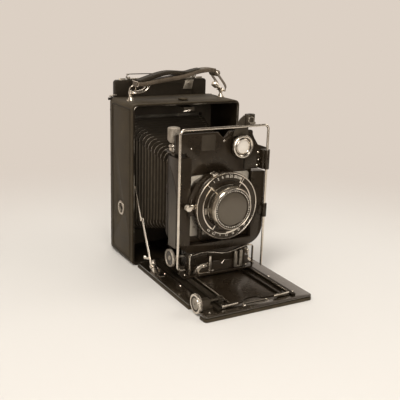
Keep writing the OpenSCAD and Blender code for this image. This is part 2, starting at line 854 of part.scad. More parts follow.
module track_plate() {
    half = track_half;
    wave = [for (i = [0:16]) [mix(18, -18, i / 16),
        fy(wave_d + 1.6 * cos(360 * i / 16) - (abs(i - 8) < 4 ? 2.5 : 0))]];
    color("#14110f") translate([0, 0, track_z]) linear_extrude(plate_t) polygon(concat(
        [[-half, fy(track_rear)], [half, fy(track_rear)], [half, fy(track_front - 4)],
        [half - 4, fy(track_front)]], wave, [[-half + 4, fy(track_front)], [-half, fy(track_front - 4)]]));
}

module track_rails() {
    color("silver") both_sides() {
        for (x = [rail_x, outer_rail_x])
            block([x, x + rail_w], [track_rear, track_front - 2], [plate_z, rail_top]);
        block([stop_x - stop_w / 2, stop_x + stop_w / 2], [track_front - 2, track_front],
            [plate_z, rail_top + 0.8]);
        block([stop_x + 1.5, stop_x + 3.5], [track_front - 4.4, track_front - 2],
            [plate_z, rail_top + 0.8]);
    }
}

module focus_rack() {
    half_tip = tooth_pitch * 0.13;
    half_root = tooth_pitch * 0.24;
    teeth = floor((track_front - 5 - rack_rear) / tooth_pitch) - 1;
    first = round((focus_d - rack_rear) / tooth_pitch - 1);
    color("#8f8a82") translate([-pinion_x - pinion_w / 2, fy(focus_d), plate_z]) rotate([90, 0, 90])
        linear_extrude(pinion_w) union() {
            for (i = [0:teeth - 1]) let (y = (first - i) * tooth_pitch + tooth_pitch / 2)
                polygon([[y - half_root, 0], [y + half_root, 0],
                    [y + half_tip, tooth_add + tooth_ded - 0.2],
                    [y - half_tip, tooth_add + tooth_ded - 0.2]]);
            translate([-(track_front - 5 - focus_d), 0])
                square([track_front - 5 - rack_rear, 0.15]);
        }
}

module focus_knob() {
    x0 = -focus_knob_x;
    color("silver") difference() {
        rod_x([x0, x0 + knob_t], focus_d, focus_z, focus_knob_r);
        rod_x([x0 - 1, x0 + 0.8], focus_d, focus_z, focus_knob_r - 2.2);
        rod_x([x0 - 1, x0 + knob_t + 1], focus_d, focus_z, shaft_r);
    }
    color("silver") difference() {
        rod_x([x0 + 0.2, x0 + 0.8], focus_d, focus_z, 3.2);
        rod_x([x0 - 1, x0 + 1], focus_d, focus_z, shaft_r);
    }
}

// Shaft and pinion in one piece; a gap between two teeth faces the middle rack tooth at rest
module focus_pinion() {
    root = pinion_r - tooth_ded;
    tip = pinion_r + tooth_add - 0.15;
    color("#8f8a82") {
        rod_x([-focus_knob_x, -pinion_x + pinion_w / 2], focus_d, focus_z, shaft_r);
        rod_x([-pinion_x - pinion_w / 2, -pinion_x + pinion_w / 2], focus_d, focus_z, root);
        translate([-pinion_x - pinion_w / 2, fy(focus_d), focus_z]) rotate([90, 0, 90])
            linear_extrude(pinion_w) for (i = [0:pinion_teeth - 1])
                rotate(360 * i / pinion_teeth - 90)
                polygon([[0.5, -tooth_pitch * 0.22], [root + 0.3, -tooth_pitch * 0.22],
                    [tip, -tooth_pitch * 0.1], [tip, tooth_pitch * 0.1],
                    [root + 0.3, tooth_pitch * 0.22], [0.5, tooth_pitch * 0.22]]);
    }
}

// Struts, drawn for the right side

module strut_link(d0, z0, d1, z1, x0, holes) {
    lean = atan2(d1 - d0, z0 - z1);
    len = norm([d1 - d0, z0 - z1]);
    difference() {
        translate([x0, fy(d0), z0]) rotate([-lean, 0, 0]) {
            translate([0, -strut_w / 2, -len]) cube([strut_t, strut_w, len]);
            rotate([0, 90, 0]) cylinder(r = strut_w / 2, h = strut_t);
            translate([0, 0, -len]) rotate([0, 90, 0]) cylinder(r = strut_w / 2, h = strut_t);
        }
        for (h = holes) rod_x([x0 - 1, x0 + strut_t + 1], h[0], h[1], stud_r + run);
    }
}

module strut_upper() {
    color("silver") strut_link(strut_top_d, strut_top_z, knee_d, knee_z, strut_x - strut_t,
        [[strut_top_d, strut_top_z]]);
}

module strut_lower() {
    x0 = lower_x - strut_t;
    color("silver") {
        strut_link(knee_d, knee_z, strut_foot_d, strut_foot_z, x0, [[strut_foot_d, strut_foot_z]]);
        rod_x([x0 - 0.6, x0], knee_d, knee_z, 2);
    }
}

module strut_upper_right() strut_upper();
module strut_upper_left() mirror([1, 0, 0]) strut_upper();
module strut_lower_right() strut_lower();
module strut_lower_left() mirror([1, 0, 0]) strut_lower();

// Carriage: rides on the rails and carries the cross bar, the index plate and the screw's lug

module carriage_base() {
    shoe = 2.5;
    color("#14110f") difference() {
        union() {
            block([-base_half, base_half], base_d, [base_z, base_top]);
            both_sides() block([rail_x - gap - shoe, rail_x - gap], base_d, [plate_z + gap, base_z]);
            block([-base_half, base_half], bar_d, [base_top, bar_top]);
            block([-lug_w / 2, lug_w / 2], bar_d, [bar_top, shift_z + 3]);
        }
        rod_x([-base_half, base_half], shift_d, shift_z, shift_screw_r + run);
    }
    index_plate();
    color("silver") block([-20, -9.5], [grip_d[0], base_d[1]], [base_top, base_top + 1.2]);
}

// Low plate with a V notch that marks the cross movement
module index_plate() {
    front = grip_d[0] - gap;
    notch = 5;
    color("#14110f") slab(front - 0.5, front) polygon([[-24, base_top], [24, base_top], [24, 17],
        [notch + 3, 17.6], [notch, 14.6], [notch - 3, 17.6], [-20, 17]]);
}

function handle_height(x) = handle_top - handle_dip / 2 * (1 - cos(360 * (x - handle_crest) / handle_wave));

// Adds to a line of points the same line moved t to its right, which makes a strip
function strip(points, t) = let (n = len(points)) concat(points, [for (i = [n - 1:-1:0])
    let (way = points[min(i + 1, n - 1)] - points[max(i - 1, 0)])
    points[i] + t * [way[1], -way[0]] / norm(way)]);

// Bright bent strip in front of the foot, used to pull the standard along the rails
module pull_handle() {
    left = handle_x[0];
    right = handle_x[1];
    crest = [for (x = [left + 4:3:right - 4]) [x, handle_height(x)]];
    color("silver") slab(handle_d[0], handle_d[1]) polygon(strip(concat(
        [[left, base_top], [left, handle_top - 2.2], [left + 1.6, handle_top - 0.5]], crest,
        [[right - 1.6, handle_top - 0.5], [right, handle_top - 2.2], [right, base_top]]), handle_t));
}

module grip_left() {
    color("silver") {
        block([-8.9, -6.9], grip_d, [base_top + gap, grip_top - 1]);
        block([-8.9, -4], grip_d, [base_top + gap, base_top + 1.6]);
    }
}

module grip_right() {
    color("silver") for (x = [17, 22.4]) {
        block([x, x + 3], grip_d, [base_top + gap, grip_top - 1.5]);
        rod_y(x + 1.5, grip_d, grip_top - 1.5, 1.5);
        block([17, 25.4], grip_d, [base_top + gap, base_top + 1.6]);
    }
}

// Standard

module standard_frame() {
    half = std_w / 2;
    color("#14110f") {
        difference() {
            slab(std_rear, std_front) difference() {
                union() {
                    round_box([-half, half], [std_low, std_low + 3 * std_corner_r], std_corner_r);
                    translate([-half, std_low + std_corner_r])
                        square([upright_w, left_top - std_low - std_corner_r]);
                    translate([std_in, std_low + std_corner_r])
                        square([upright_w, right_top - std_low - std_corner_r]);
                }
                translate([-std_in, std_low + std_bar]) square([2 * std_in, body_h]);
            }
            rod_z(rise_x, rise_d, [rise_bore_low, left_top + 1], rise_screw_r + run);
            both_sides() block([std_in - 1, std_in + groove], [lb_back - gap, lb_front + gap],
                [lb_low - gap, body_h]);
        }
        wire_clip();
    }
}

// Open clip on the right upright; the wire frame's hinge bar turns and slides in it
module wire_clip() {
    difference() {
        union() {
            translate([wire_x, fy(wire_d), clip_z[0]]) cylinder(r = wire_r + barrel_wall,
                h = clip_z[1] - clip_z[0]);
            block([wire_x - 5, wire_x], [std_front, std_front + 1], [clip_z[0] + 2, clip_z[1] - 2]);
        }
        rod_z(wire_x, wire_d, [0, body_h], wire_r + run);
        block([0, body_w], [0, std_front], [0, body_h]);
    }
}

module standard_back() {
    color("#14110f") slab(std_back_d, std_rear) difference() {
        union() {
            round_box([-std_w / 2, std_w / 2], [std_back_low, right_top], std_corner_r - 5);
            translate([-std_in, std_back_low]) square([2 * std_in, std_back_top - std_back_low]);
        }
        translate([-window_half, window_low])
            square([2 * window_half, window_high - window_low]);
    }
}

// Foot of the standard: a saddle over the cross bar, with the screw's bearing
module standard_foot() {
    half = foot_half;
    slot = lug_w / 2 + shift_travel + gap;
    color("#14110f") difference() {
        block([-half, half], [bar_d[0] - 2, bar_d[1] + 2], [12, std_low]);
        block([-half - 1, half + 1], [bar_d[0] - gap, bar_d[1] + gap], [0, bar_top + gap]);
        block([-slot, slot], [bar_d[0] - gap, bar_d[1] + gap], [bar_top, shift_z + 3 + gap]);
        rod_x([-half - 1, half + 1], shift_d, shift_z, shift_screw_r + run);
    }
}

module shift_knob() {
    x0 = -shift_knob_x;
    color("silver") {
        difference() {
            rod_x([x0, x0 + knob_t], shift_d, shift_z, shift_knob_r);
            rod_x([x0 - 1, x0 + 0.8], shift_d, shift_z, shift_knob_r - 2);
        }
        rod_x([x0 + knob_t, 24], shift_d, shift_z, shift_screw_r);
    }
}

// Lens board with everything that rises with it

module lens_board() {
    color("#1a1613") {
        slab(lb_back, lb_front) difference() {
            union() {
                translate([-lb_half, lb_low]) square([2 * lb_half, board_top - 9 - lb_low]);
                round_box([-std_w / 2, 32], [lb_wide_z, board_top], 2);
            }
            polygon([[-3, board_top + 1], [9, board_top + 1], [3, board_top - 6]]);
            translate([0, lens_z]) circle(lens_hole_r);
            translate([finder_x, finder_z]) circle(finder_pivot_r + run);
        }
        difference() {
            block([rise_x - 5, rise_x + 5], [rise_d - 4.5, lb_back],
                [lb_wide_z, lb_wide_z + rise_arm_t]);
            rod_z(rise_x, rise_d, [0, body_h], rise_screw_r + run);
        }
    }
    color("silver") difference() {
        rod_z(rise_x, rise_d, [lb_wide_z + rise_arm_t, lb_wide_z + rise_arm_t + nut_h], nut_r);
        rod_z(rise_x, rise_d, [0, body_h], rise_screw_r + run);
    }
}

// Plate at the board's right edge; its barrel holds the wire frame's hinge bar
module frame_bracket() {
    front = lb_front + bracket_t;
    color("#14110f") difference() {
        union() {
            slab(lb_front, front) polygon([[bracket_left, bracket_low], [bracket_right, bracket_low],
                [bracket_right, bracket_high], [bracket_left + 13, bracket_high + 3],
                [bracket_left + 9, board_top - 7], [bracket_left + 6, board_top - 1],
                [bracket_left, board_top - 1]]);
            block([wire_x - 4, bracket_right], [front, wire_d - 0.6],
                [bracket_low, bracket_high - 1]);
            rod_z(wire_x, wire_d, [bracket_low, bracket_high - 1], wire_r + barrel_wall);
        }
        rod_y(finder_x, [lb_front - 1, front + 1], finder_z, finder_ring_r);
        rod_z(wire_x, wire_d, [0, body_h], wire_r + run);
    }
}

module flange_plate() {
    z0 = lens_z - flange_h / 2 - 1;
    color("#b8b0a4") slab(lb_front, case_rear) difference() {
        round_box([-flange_w / 2, flange_w / 2], [z0, z0 + flange_h], 3);
        translate([0, lens_z]) circle(lens_hole_r);
    }
}

module cheek() {
    difference() {
        polygon([[-33, lens_z - 8], [-33, lens_z + 8], [-26, lens_z + 21],
            [-15, lens_z + 26.5], [0, lens_z + 26.5], [0, lens_z]]);
        translate([0, lens_z]) circle(case_r - 1);
    }
}

module shutter_case() {
    color("#14110f") {
        difference() {
            union() {
                turned([[case_bore, case_rear], [case_r, case_rear], [case_r, case_front - 0.6],
                    [case_r - 0.6, case_front], [hub_r, case_front], [hub_r, hub_front],
                    [case_bore, hub_front]]);
                slab(cheek_rear, cheek_front) cheek();
                slab(case_rear, cheek_rear) intersection() {
                    cheek();
                    translate([gap - std_in, 0]) square([std_in, body_h]);
                }
                rod_z(socket_x, socket_d, socket_z, socket_r + 0.8);
            }
            rod_z(socket_x, socket_d, [socket_z[0] - 1, socket_z[0] + 6.5], socket_r);
        }
        rod_y(lever_pin[0], [cheek_front - 1, case_front + gap + 1.4], lever_pin[1], lever_pin_r);
    }
}

module shutter_dial() {
    color("#1a1613") turned([[aperture_in, hub_front], [dial_r, hub_front], [dial_r, dial_front],
        [aperture_in, dial_front]]);
    for (a = [[42, 142], [180, 330]]) color("silver")
        translate([0, fy(dial_front), lens_z]) rotate([90, 0, 0]) difference() {
            rotate([0, 0, 90 + a[0]]) rotate_extrude(angle = a[1] - a[0], $fn = 96)
                translate([22.4, 0]) square([1.1, 0.7]);
        }
}

module lens_barrel() {
    color("#8f8a82") turned([[case_bore - 1.2, hub_front], [barrel_r, hub_front],
        [barrel_r, aperture_front + 1], [barrel_r - 0.6, aperture_front + 1.6],
        [barrel_r - 0.6, barrel_front - 3], [barrel_r - 2.2, barrel_front],
        [barrel_r - 2.8, barrel_front], [glass_r + 0.6, barrel_front - 3.4],
        [glass_r + 0.05, barrel_front - 3.4], [glass_r + 0.05, glass_rear],
        [glass_r - 1.2, glass_rear - 0.6], [glass_r - 1.2, hub_front]]);
}

function crown(r, height, n) = [for (i = [0:n]) let (x = r * (1 - i / n)) [x, height * (1 - pow(x / r, 2))]];

module lens_glasses() {
    color("#9fb0b8", 0.5) {
        turned(concat([[0, glass_rear], [glass_r, glass_rear]],
            [for (p = crown(glass_r, glass_crown, 7)) p + [0, glass_rear + 2.2]]));
        turned([[0, rear_cell_back + 2], [rear_glass_r, rear_cell_back + 2],
            [rear_glass_r, rear_cell_back + 5], [0, rear_cell_back + 6]]);
    }
}

module rear_cell() {
    color("#14110f") turned([[rear_glass_r - 1, rear_cell_back], [rear_cell_r, rear_cell_back],
        [rear_cell_r, lb_front], [case_bore - 0.4, lb_front], [case_bore - 0.4, case_rear + 0.6],
        [rear_glass_r - 1, case_rear + 0.6], [rear_glass_r - 1, rear_cell_back + 6.2],
        [rear_glass_r, rear_cell_back + 6.2], [rear_glass_r, rear_cell_back + 2],
        [rear_glass_r - 1, rear_cell_back + 2]]);
}

// Five closed sectors, each its own leaf
module shutter_blades() {
    color("#2d2a28") translate([0, fy(case_rear + 1.2), lens_z]) rotate([90, 0, 0])
        for (i = [0:4]) rotate([0, 0, 72 * i]) rotate_extrude(angle = 71, $fn = 96)
            translate([0.4, 0]) square([case_bore - 0.4, 0.5]);
}

module iris_blades() {
    leaves = 10;
    color("#2d2a28") translate([0, fy(case_rear + 3), lens_z]) rotate([90, 0, 0])
        difference() {
            cylinder(r = case_bore, h = 0.6, $fn = 96);
            translate([0, 0, -1]) cylinder(r = 9, h = 3, $fn = leaves);
        }
}

module rise_knob() {
    r = rise_knob_r;
    h = rise_knob_h;
    color("silver") {
        translate([rise_x, fy(rise_d), rise_knob_z]) rotate_extrude() polygon([[0, 0], [r - 1.6, 0],
            [r, 2.4], [r, h - 1], [r - 0.8, h], [0, h]]);
        rod_z(rise_x, rise_d, [rise_bore_low + rise_travel / 6, rise_knob_z], rise_screw_r);
    }
}

// Shutter controls

module speed_ring() {
    color("silver") turned([[ring_in, hub_front + 0.3], [ring_r - 0.5, hub_front + 0.3],
        [ring_r, hub_front + 0.8], [ring_r, ring_front - 0.5], [ring_r - 0.5, ring_front],
        [ring_r - 1.3, ring_front], [ring_r - 1.6, dial_front], [ring_in, dial_front]]);
}

module aperture_ring() {
    color("#14110f") {
        turned([[aperture_in, dial_front + gap], [aperture_out, dial_front + gap],
            [aperture_out, aperture_front], [aperture_in, aperture_front]]);
        block([-aperture_out - 0.2, -barrel_r - 0.6], [aperture_front, aperture_front + 1.2],
            [lens_z - 4.6, lens_z + 0.4]);
    }
}

module cocking_lever() {
    rear = case_front + gap;
    front = hub_front - gap;
    color("silver") {
        turned([[hub_r + run, rear], [hub_r + 1.6, rear], [hub_r + 1.6, front], [hub_r + run, front]]);
        translate([0, fy(rear), lens_z]) rotate([90, -cock_angle, 0]) {
            translate([-2.3, hub_r + 1, 0]) cube([4.6, 6.4, front - rear]);
            translate([-2.3, ring_r + 0.8, 0]) cube([4.6, 2, ring_front - rear]);
        }
    }
}

module release_lever() {
    rear = case_front + gap;
    knob_x = lever_pin[0] - lever_arm;
    color("silver") difference() {
        union() {
            rod_y(lever_pin[0], [rear, rear + 1.2], lever_pin[1], 1.9);
            block([knob_x, lever_pin[0]], [rear, rear + 1.2], [lever_pin[1] - 1.1, lever_pin[1] + 1.1]);
            rod_y(knob_x, [rear, rear + 3.2], lever_pin[1], 2.9);
        }
        rod_y(lever_pin[0], [rear - 1, rear + 3], lever_pin[1], lever_pin_r + run);
    }
}

// Wire frame, hinged about its right bar; the left bar ends in a short foot
module wire_frame() {
    c = wire_corner;
    tip = 1.6;
    color("silver") translate([0, fy(wire_d), 0]) {
        translate([-wire_x, 0, wire_low + c]) cylinder(r = wire_r, h = wire_high - wire_low - 2 * c);
        translate([wire_x, 0, wire_foot + tip])
            cylinder(r = wire_r, h = wire_high - wire_foot - tip - c);
        translate([wire_x, 0, wire_foot]) cylinder(r1 = 0.4, r2 = wire_r, h = tip);
        translate([-wire_x + c, 0, wire_high]) rotate([0, 90, 0]) cylinder(r = wire_r, h = wire_w - 2 * c);
        translate([-wire_x + c, 0, wire_low]) rotate([0, 90, 0]) cylinder(r = wire_r, h = wire_toe - c);
        wire_bend(wire_x - c, wire_high - c, 0);
        wire_bend(-wire_x + c, wire_high - c, 90);
        wire_bend(-wire_x + c, wire_low + c, 180);
    }
}

module wire_bend(x, z, turn) {
    translate([x, 0, z]) rotate([90, 0, 0]) rotate([0, 0, turn])
        rotate_extrude(angle = 90, $fn = 48) translate([wire_corner, 0]) circle(wire_r, $fn = 24);
}

// Brilliant finder, which swivels on a pin through the lens board

module finder_housing() {
    half = finder_side / 2;
    color("#14110f") {
        difference() {
            slab(finder_back, finder_front) translate([finder_x, finder_z])
                round_box([-half, half], [-half, half], finder_corner_r);
            rod_y(finder_x, [finder_back + 1.2, finder_front + 1], finder_z, finder_glass_r + 0.3);
        }
        rod_y(finder_x, [lb_back, finder_back], finder_z, finder_pivot_r);
    }
    color("silver") difference() {
        rod_y(finder_x, [finder_front, finder_ring_d], finder_z, finder_ring_r);
        rod_y(finder_x, [finder_front - 1, wire_d], finder_z, finder_glass_r + 0.3);
    }
}

module finder_lens() {
    color("#dfe4e2", 0.6) translate([finder_x, fy(finder_back + 1.2), finder_z]) rotate([90, 0, 0])
        rotate_extrude() polygon(concat([[0, 0], [finder_glass_r + 0.3, 0]],
            [for (p = crown(finder_glass_r + 0.3, 0.9, 4)) p + [0, 2.6]]));
}

// Spirit level on an arm above the finder
module finder_level() {
    half = finder_side / 2;
    x = finder_x + level_x;
    color("#2a2623") {
        slab(finder_back, finder_back + 1.4) polygon([[finder_x - half, finder_z + half],
            [finder_x + half - 2, finder_z + half], [finder_x + half - 3, finder_z + level_z[1] - 3],
            [finder_x + 2, finder_z + level_z[1] - 1], [finder_x - 2, finder_z + level_z[1] - 4]]);
        translate([x, fy(finder_ring_d), finder_z + level_z[0]])
            linear_extrude(level_z[1] - level_z[0]) round_box([-level_r, level_r],
                [0, finder_ring_d - lb_front - gap], 2.6);
    }
}

body_shell();
body_leather();
opening_rim();
picture_gate();
back_frame();
tripod_bushes();
strap_posts();
body_hinge();
bellows();
bed_release_button();
bed_catch();
plate_holder();
glass_plate();
holder_latch();
dark_slide();
dark_slide_bail();
strap_leather();
strap_fittings();
bed_board();
bed_liner();
bed_hinge();
track_guides();
bed_fittings();
focus_bearing();
track_plate();
track_rails();
focus_rack();
focus_knob();
focus_pinion();
strut_upper_left();
strut_upper_right();
strut_lower_left();
strut_lower_right();
carriage_base();
pull_handle();
grip_left();
grip_right();
standard_frame();
standard_back();
standard_foot();
shift_knob();
lens_board();
frame_bracket();
flange_plate();
shutter_case();
shutter_dial();
lens_barrel();
lens_glasses();
rear_cell();
shutter_blades();
iris_blades();
rise_knob();
speed_ring();
aperture_ring();
cocking_lever();
release_lever();
wire_frame();
finder_housing();
finder_lens();
finder_level();
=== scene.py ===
# %% [markdown]
# # A folding plate camera in Blender
# This lesson dresses a camera whose working parts were built in CAD. The metal, the leather and the
# glass get their finish here, and the soft pieces, such as the bellows and the strap, get their real
# form. The CAD parts are loaded as a fixed frame, so nothing has to be fitted afterwards.

# %% Loading the frame
import json
import math
import bmesh
import bpy
from mathutils import Matrix, Vector

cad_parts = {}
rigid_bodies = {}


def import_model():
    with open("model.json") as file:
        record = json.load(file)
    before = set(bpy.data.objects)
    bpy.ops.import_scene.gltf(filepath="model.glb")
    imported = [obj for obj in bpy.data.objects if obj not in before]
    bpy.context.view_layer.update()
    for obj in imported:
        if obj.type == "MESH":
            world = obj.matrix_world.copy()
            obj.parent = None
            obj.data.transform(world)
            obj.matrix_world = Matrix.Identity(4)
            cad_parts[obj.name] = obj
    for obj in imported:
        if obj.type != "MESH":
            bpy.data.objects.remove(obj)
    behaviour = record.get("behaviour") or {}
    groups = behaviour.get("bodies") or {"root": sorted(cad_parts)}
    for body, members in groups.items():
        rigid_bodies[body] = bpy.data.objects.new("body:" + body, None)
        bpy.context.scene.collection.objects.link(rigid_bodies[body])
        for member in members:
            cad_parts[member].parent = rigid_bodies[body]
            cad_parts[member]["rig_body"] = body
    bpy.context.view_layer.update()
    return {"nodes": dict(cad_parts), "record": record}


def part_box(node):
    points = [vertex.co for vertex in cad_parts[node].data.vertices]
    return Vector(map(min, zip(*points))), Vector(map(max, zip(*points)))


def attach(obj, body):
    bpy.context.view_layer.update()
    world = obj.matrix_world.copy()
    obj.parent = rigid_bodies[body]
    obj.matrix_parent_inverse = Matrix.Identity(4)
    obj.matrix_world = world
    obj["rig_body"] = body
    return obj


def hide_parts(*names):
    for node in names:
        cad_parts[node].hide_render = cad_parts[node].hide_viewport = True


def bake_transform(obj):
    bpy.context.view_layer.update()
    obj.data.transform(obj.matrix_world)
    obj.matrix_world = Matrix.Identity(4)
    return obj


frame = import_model()
nodes = frame["nodes"]
print("CAD nodes:", len(nodes))

# %% [markdown]
# ## Measuring from the frame
# Everything on this camera is placed by its distance in front of the body, so a small helper turns
# "so many millimetres right, in front and up" into a point. The body's front face is read from the
# frame, because a number typed twice is a number that can disagree with itself.

# %% Places and units
MM = 0.001
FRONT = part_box("body_shell")[0].y
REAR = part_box("body_shell")[1].y


def at(x, d, z):
    """A point x to the right, d in front of the body's front face and z up, in millimetres."""
    return Vector((x * MM, FRONT - d * MM, z * MM))


def at_depth(d, points):
    """Points (x, z) that all lie d in front of the body's front face."""
    return [at(x, d, z) for x, z in points]


def ahead(y):
    """How far a place along Y lies in front of the body, in millimetres."""
    return (FRONT - y) / MM


def middle(node):
    """The middle of a CAD node's box."""
    low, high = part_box(node)
    return (low + high) / 2


LENS = middle("speed_ring")
LENS_SPOT = (LENS.x / MM, LENS.z / MM)
FORWARD = (0, -1, 0)
UP = (0, 0, 1)
print("lens axis", [round(v, 1) for v in LENS_SPOT], "depth of the body", round((REAR - FRONT) / MM, 1))

# %% [markdown]
# ## The camera that takes the picture
# The photograph was taken from the left and a little above, with a long lens. The place, the turn
# and the tilt were worked out from the body's edges. Blender's camera looks along its own -Z, so its
# matrix is built from the three directions right, up and back.

# %% Camera
VIEW_FROM = at(-286.81, 537.95, 232.68)
VIEW_YAW = math.radians(29.33)
VIEW_PITCH = math.radians(15.99)
VIEW_ROLL = math.radians(1.74)
VIEW_FOCAL = 670.92
PHOTO_SIDE = 400
SENSOR = 36.0


def aim_camera():
    look = Vector((math.sin(VIEW_YAW) * math.cos(VIEW_PITCH), math.cos(VIEW_YAW) * math.cos(VIEW_PITCH),
                   -math.sin(VIEW_PITCH)))
    flat_right = Vector((math.cos(VIEW_YAW), -math.sin(VIEW_YAW), 0))
    flat_up = flat_right.cross(look)
    right = flat_right * math.cos(VIEW_ROLL) + flat_up * math.sin(VIEW_ROLL)
    up = flat_up * math.cos(VIEW_ROLL) - flat_right * math.sin(VIEW_ROLL)
    data = bpy.data.cameras.new("view_camera")
    data.sensor_width = SENSOR
    data.lens = VIEW_FOCAL * SENSOR / PHOTO_SIDE
    data.clip_start = 0.01
    camera = bpy.data.objects.new("view_camera", data)
    bpy.context.scene.collection.objects.link(camera)
    turn = Matrix((right, up, -look)).transposed().to_4x4()
    camera.matrix_world = Matrix.Translation(VIEW_FROM) @ turn
    bpy.context.scene.camera = camera
    return data.lens


print("lens", round(aim_camera(), 2), "mm")

# %% [markdown]
# ## Making finishes from nodes
# A finish is a Principled shader with a little of life in it: a slow mottle in the colour, a finer one
# in the roughness, and a bump for grain or brushing. All of them read object coordinates, so the
# grain has its real size on every piece. One helper wires this up and each finish only gives its own
# numbers. Shine and its warm tint are plain constants, so that an exported model keeps them.

# %% Finish helper
SHINE_TINT = (1.0, 0.86, 0.70, 1)
FINISHES = {}


def finish(name, color, worn, metal=0.0, rough=0.4, rough_to=None, mottle=60, grain=None, coat=0.0,
           stretch=(1, 1, 1), shine=0.5, wear=(0.32, 0.72)):
    """color and worn are the two colours of the mottle; grain is (kind, scale, depth in mm)."""
    mat = bpy.data.materials.new(name)
    mat.use_nodes = True
    tree = mat.node_tree
    shader = tree.nodes["Principled BSDF"]
    shader.inputs["Metallic"].default_value = metal
    shader.inputs["Specular IOR Level"].default_value = shine
    if not metal:
        shader.inputs["Specular Tint"].default_value = SHINE_TINT
    shader.inputs["Coat Weight"].default_value = coat
    shader.inputs["Coat Roughness"].default_value = 0.12
    coords = tree.nodes.new("ShaderNodeTexCoord")
    scaled = tree.nodes.new("ShaderNodeMapping")
    scaled.inputs["Scale"].default_value = stretch
    tree.links.new(coords.outputs["Object"], scaled.inputs["Vector"])
    cloud = tree.nodes.new("ShaderNodeTexNoise")
    cloud.inputs["Scale"].default_value = mottle
    cloud.inputs["Detail"].default_value = 6
    cloud.inputs["Roughness"].default_value = 0.65
    tree.links.new(scaled.outputs["Vector"], cloud.inputs["Vector"])
    tint = tree.nodes.new("ShaderNodeValToRGB")
    tint.color_ramp.elements[0].position = wear[0]
    tint.color_ramp.elements[0].color = (*color, 1)
    tint.color_ramp.elements[1].position = wear[1]
    tint.color_ramp.elements[1].color = (*worn, 1)
    tree.links.new(cloud.outputs["Fac"], tint.inputs["Fac"])
    tree.links.new(tint.outputs["Color"], shader.inputs["Base Color"])
    spread = tree.nodes.new("ShaderNodeMapRange")
    spread.inputs["To Min"].default_value = rough
    spread.inputs["To Max"].default_value = rough if rough_to is None else rough_to
    tree.links.new(cloud.outputs["Fac"], spread.inputs["Value"])
    tree.links.new(spread.outputs["Result"], shader.inputs["Roughness"])
    if grain:
        kind, scale, depth = grain
        texture = tree.nodes.new("ShaderNodeTexVoronoi" if kind == "pebble" else "ShaderNodeTexNoise")
        texture.inputs["Scale"].default_value = scale
        if kind != "pebble":
            texture.inputs["Detail"].default_value = 8
        tree.links.new(scaled.outputs["Vector"], texture.inputs["Vector"])
        bump = tree.nodes.new("ShaderNodeBump")
        bump.inputs["Strength"].default_value = 0.6
        bump.inputs["Distance"].default_value = depth * MM
        out = "Distance" if kind == "pebble" else "Fac"
        tree.links.new(texture.outputs[out], bump.inputs["Height"])
        tree.links.new(bump.outputs["Normal"], shader.inputs["Normal"])
    FINISHES[name] = mat
    return mat


# %% [markdown]
# ## The camera's finishes
# The old print is brown all over, so the blacks are a very dark brown, the leather is a shade
# lighter where it is rubbed, and the nickel plate is a warm grey. Enamel is smooth with a thin clear
# coat where it shines. Leather gets a pebbled bump, the strap a coarser and shinier one, and the
# metals a fine noise that breaks up their reflections.

# %% Finishes
finish("body_enamel", (0.008, 0.0055, 0.0028), (0.014, 0.010, 0.006), rough=0.42, rough_to=0.6,
       mottle=90, grain=("fine", 900, 0.05), shine=0.25)
finish("black_enamel", (0.010, 0.0068, 0.0038), (0.019, 0.013, 0.008), rough=0.2, rough_to=0.36,
       mottle=45, grain=("fine", 260, 0.03), coat=0.1, shine=0.4)
finish("liner_enamel", (0.012, 0.0085, 0.005), (0.020, 0.0145, 0.009), rough=0.2, rough_to=0.32,
       mottle=45, grain=("fine", 260, 0.02), coat=0.8, shine=0.7)
finish("satin_black", (0.048, 0.039, 0.028), (0.082, 0.067, 0.048), rough=0.3, rough_to=0.42, mottle=40,
       grain=("fine", 400, 0.02), shine=0.3)
finish("black_leather", (0.025, 0.018, 0.0095), (0.051, 0.039, 0.0225), rough=0.5, rough_to=0.72,
       mottle=70, grain=("pebble", 1500, 0.22), shine=0.33)
finish("dark_leather", (0.010, 0.0075, 0.0045), (0.024, 0.018, 0.0115), rough=0.5, rough_to=0.7,
       mottle=110, grain=("fine", 700, 0.2), shine=0.25)
finish("strap_leather", (0.045, 0.033, 0.022), (0.12, 0.092, 0.066), rough=0.36, rough_to=0.6,
       mottle=110, grain=("fine", 700, 0.25))
finish("bellows_leather", (0.009, 0.0063, 0.0033), (0.019, 0.014, 0.009), rough=0.42, rough_to=0.6,
       mottle=120, grain=("fine", 1400, 0.12), shine=0.32)
# The bellows' crests: painted sheen along the sides, and wear with a painted highlight at the corners.
finish("rubbed_fold", (0.030, 0.023, 0.014), (0.060, 0.048, 0.034), rough=0.4, rough_to=0.6, mottle=180,
       grain=("fine", 1400, 0.1))
finish("worn_fold", (0.06, 0.045, 0.03), (0.50, 0.43, 0.35), rough=0.35, rough_to=0.6, mottle=260,
       grain=("fine", 1400, 0.1), wear=(0.40, 0.62))
finish("nickel", (0.60, 0.53, 0.44), (0.80, 0.73, 0.64), metal=1.0, rough=0.12, rough_to=0.30,
       mottle=160, grain=("fine", 1200, 0.02))
# Worn nickel for edge wires that also paint a highlight along their edge.
finish("worn_nickel", (0.10, 0.08, 0.06), (0.70, 0.62, 0.52), metal=1.0, rough=0.2, rough_to=0.4,
       mottle=28, grain=("fine", 900, 0.03), wear=(0.48, 0.66))
finish("rubbed_edge", (0.035, 0.027, 0.018), (0.40, 0.35, 0.28), metal=0.9, rough=0.25, rough_to=0.45,
       mottle=34, grain=("fine", 900, 0.03), wear=(0.52, 0.68))
finish("milled_nickel", (0.28, 0.245, 0.20), (0.50, 0.44, 0.37), metal=1.0, rough=0.3, rough_to=0.45,
       mottle=300, grain=("pebble", 1300, 0.35))
finish("barrel_steel", (0.24, 0.205, 0.16), (0.40, 0.35, 0.28), metal=0.95, rough=0.16, rough_to=0.30,
       mottle=90, grain=("fine", 1500, 0.02))
finish("brushed_plate", (0.46, 0.41, 0.34), (0.66, 0.60, 0.51), metal=0.8, rough=0.36, rough_to=0.5,
       mottle=140, grain=("fine", 1500, 0.03))
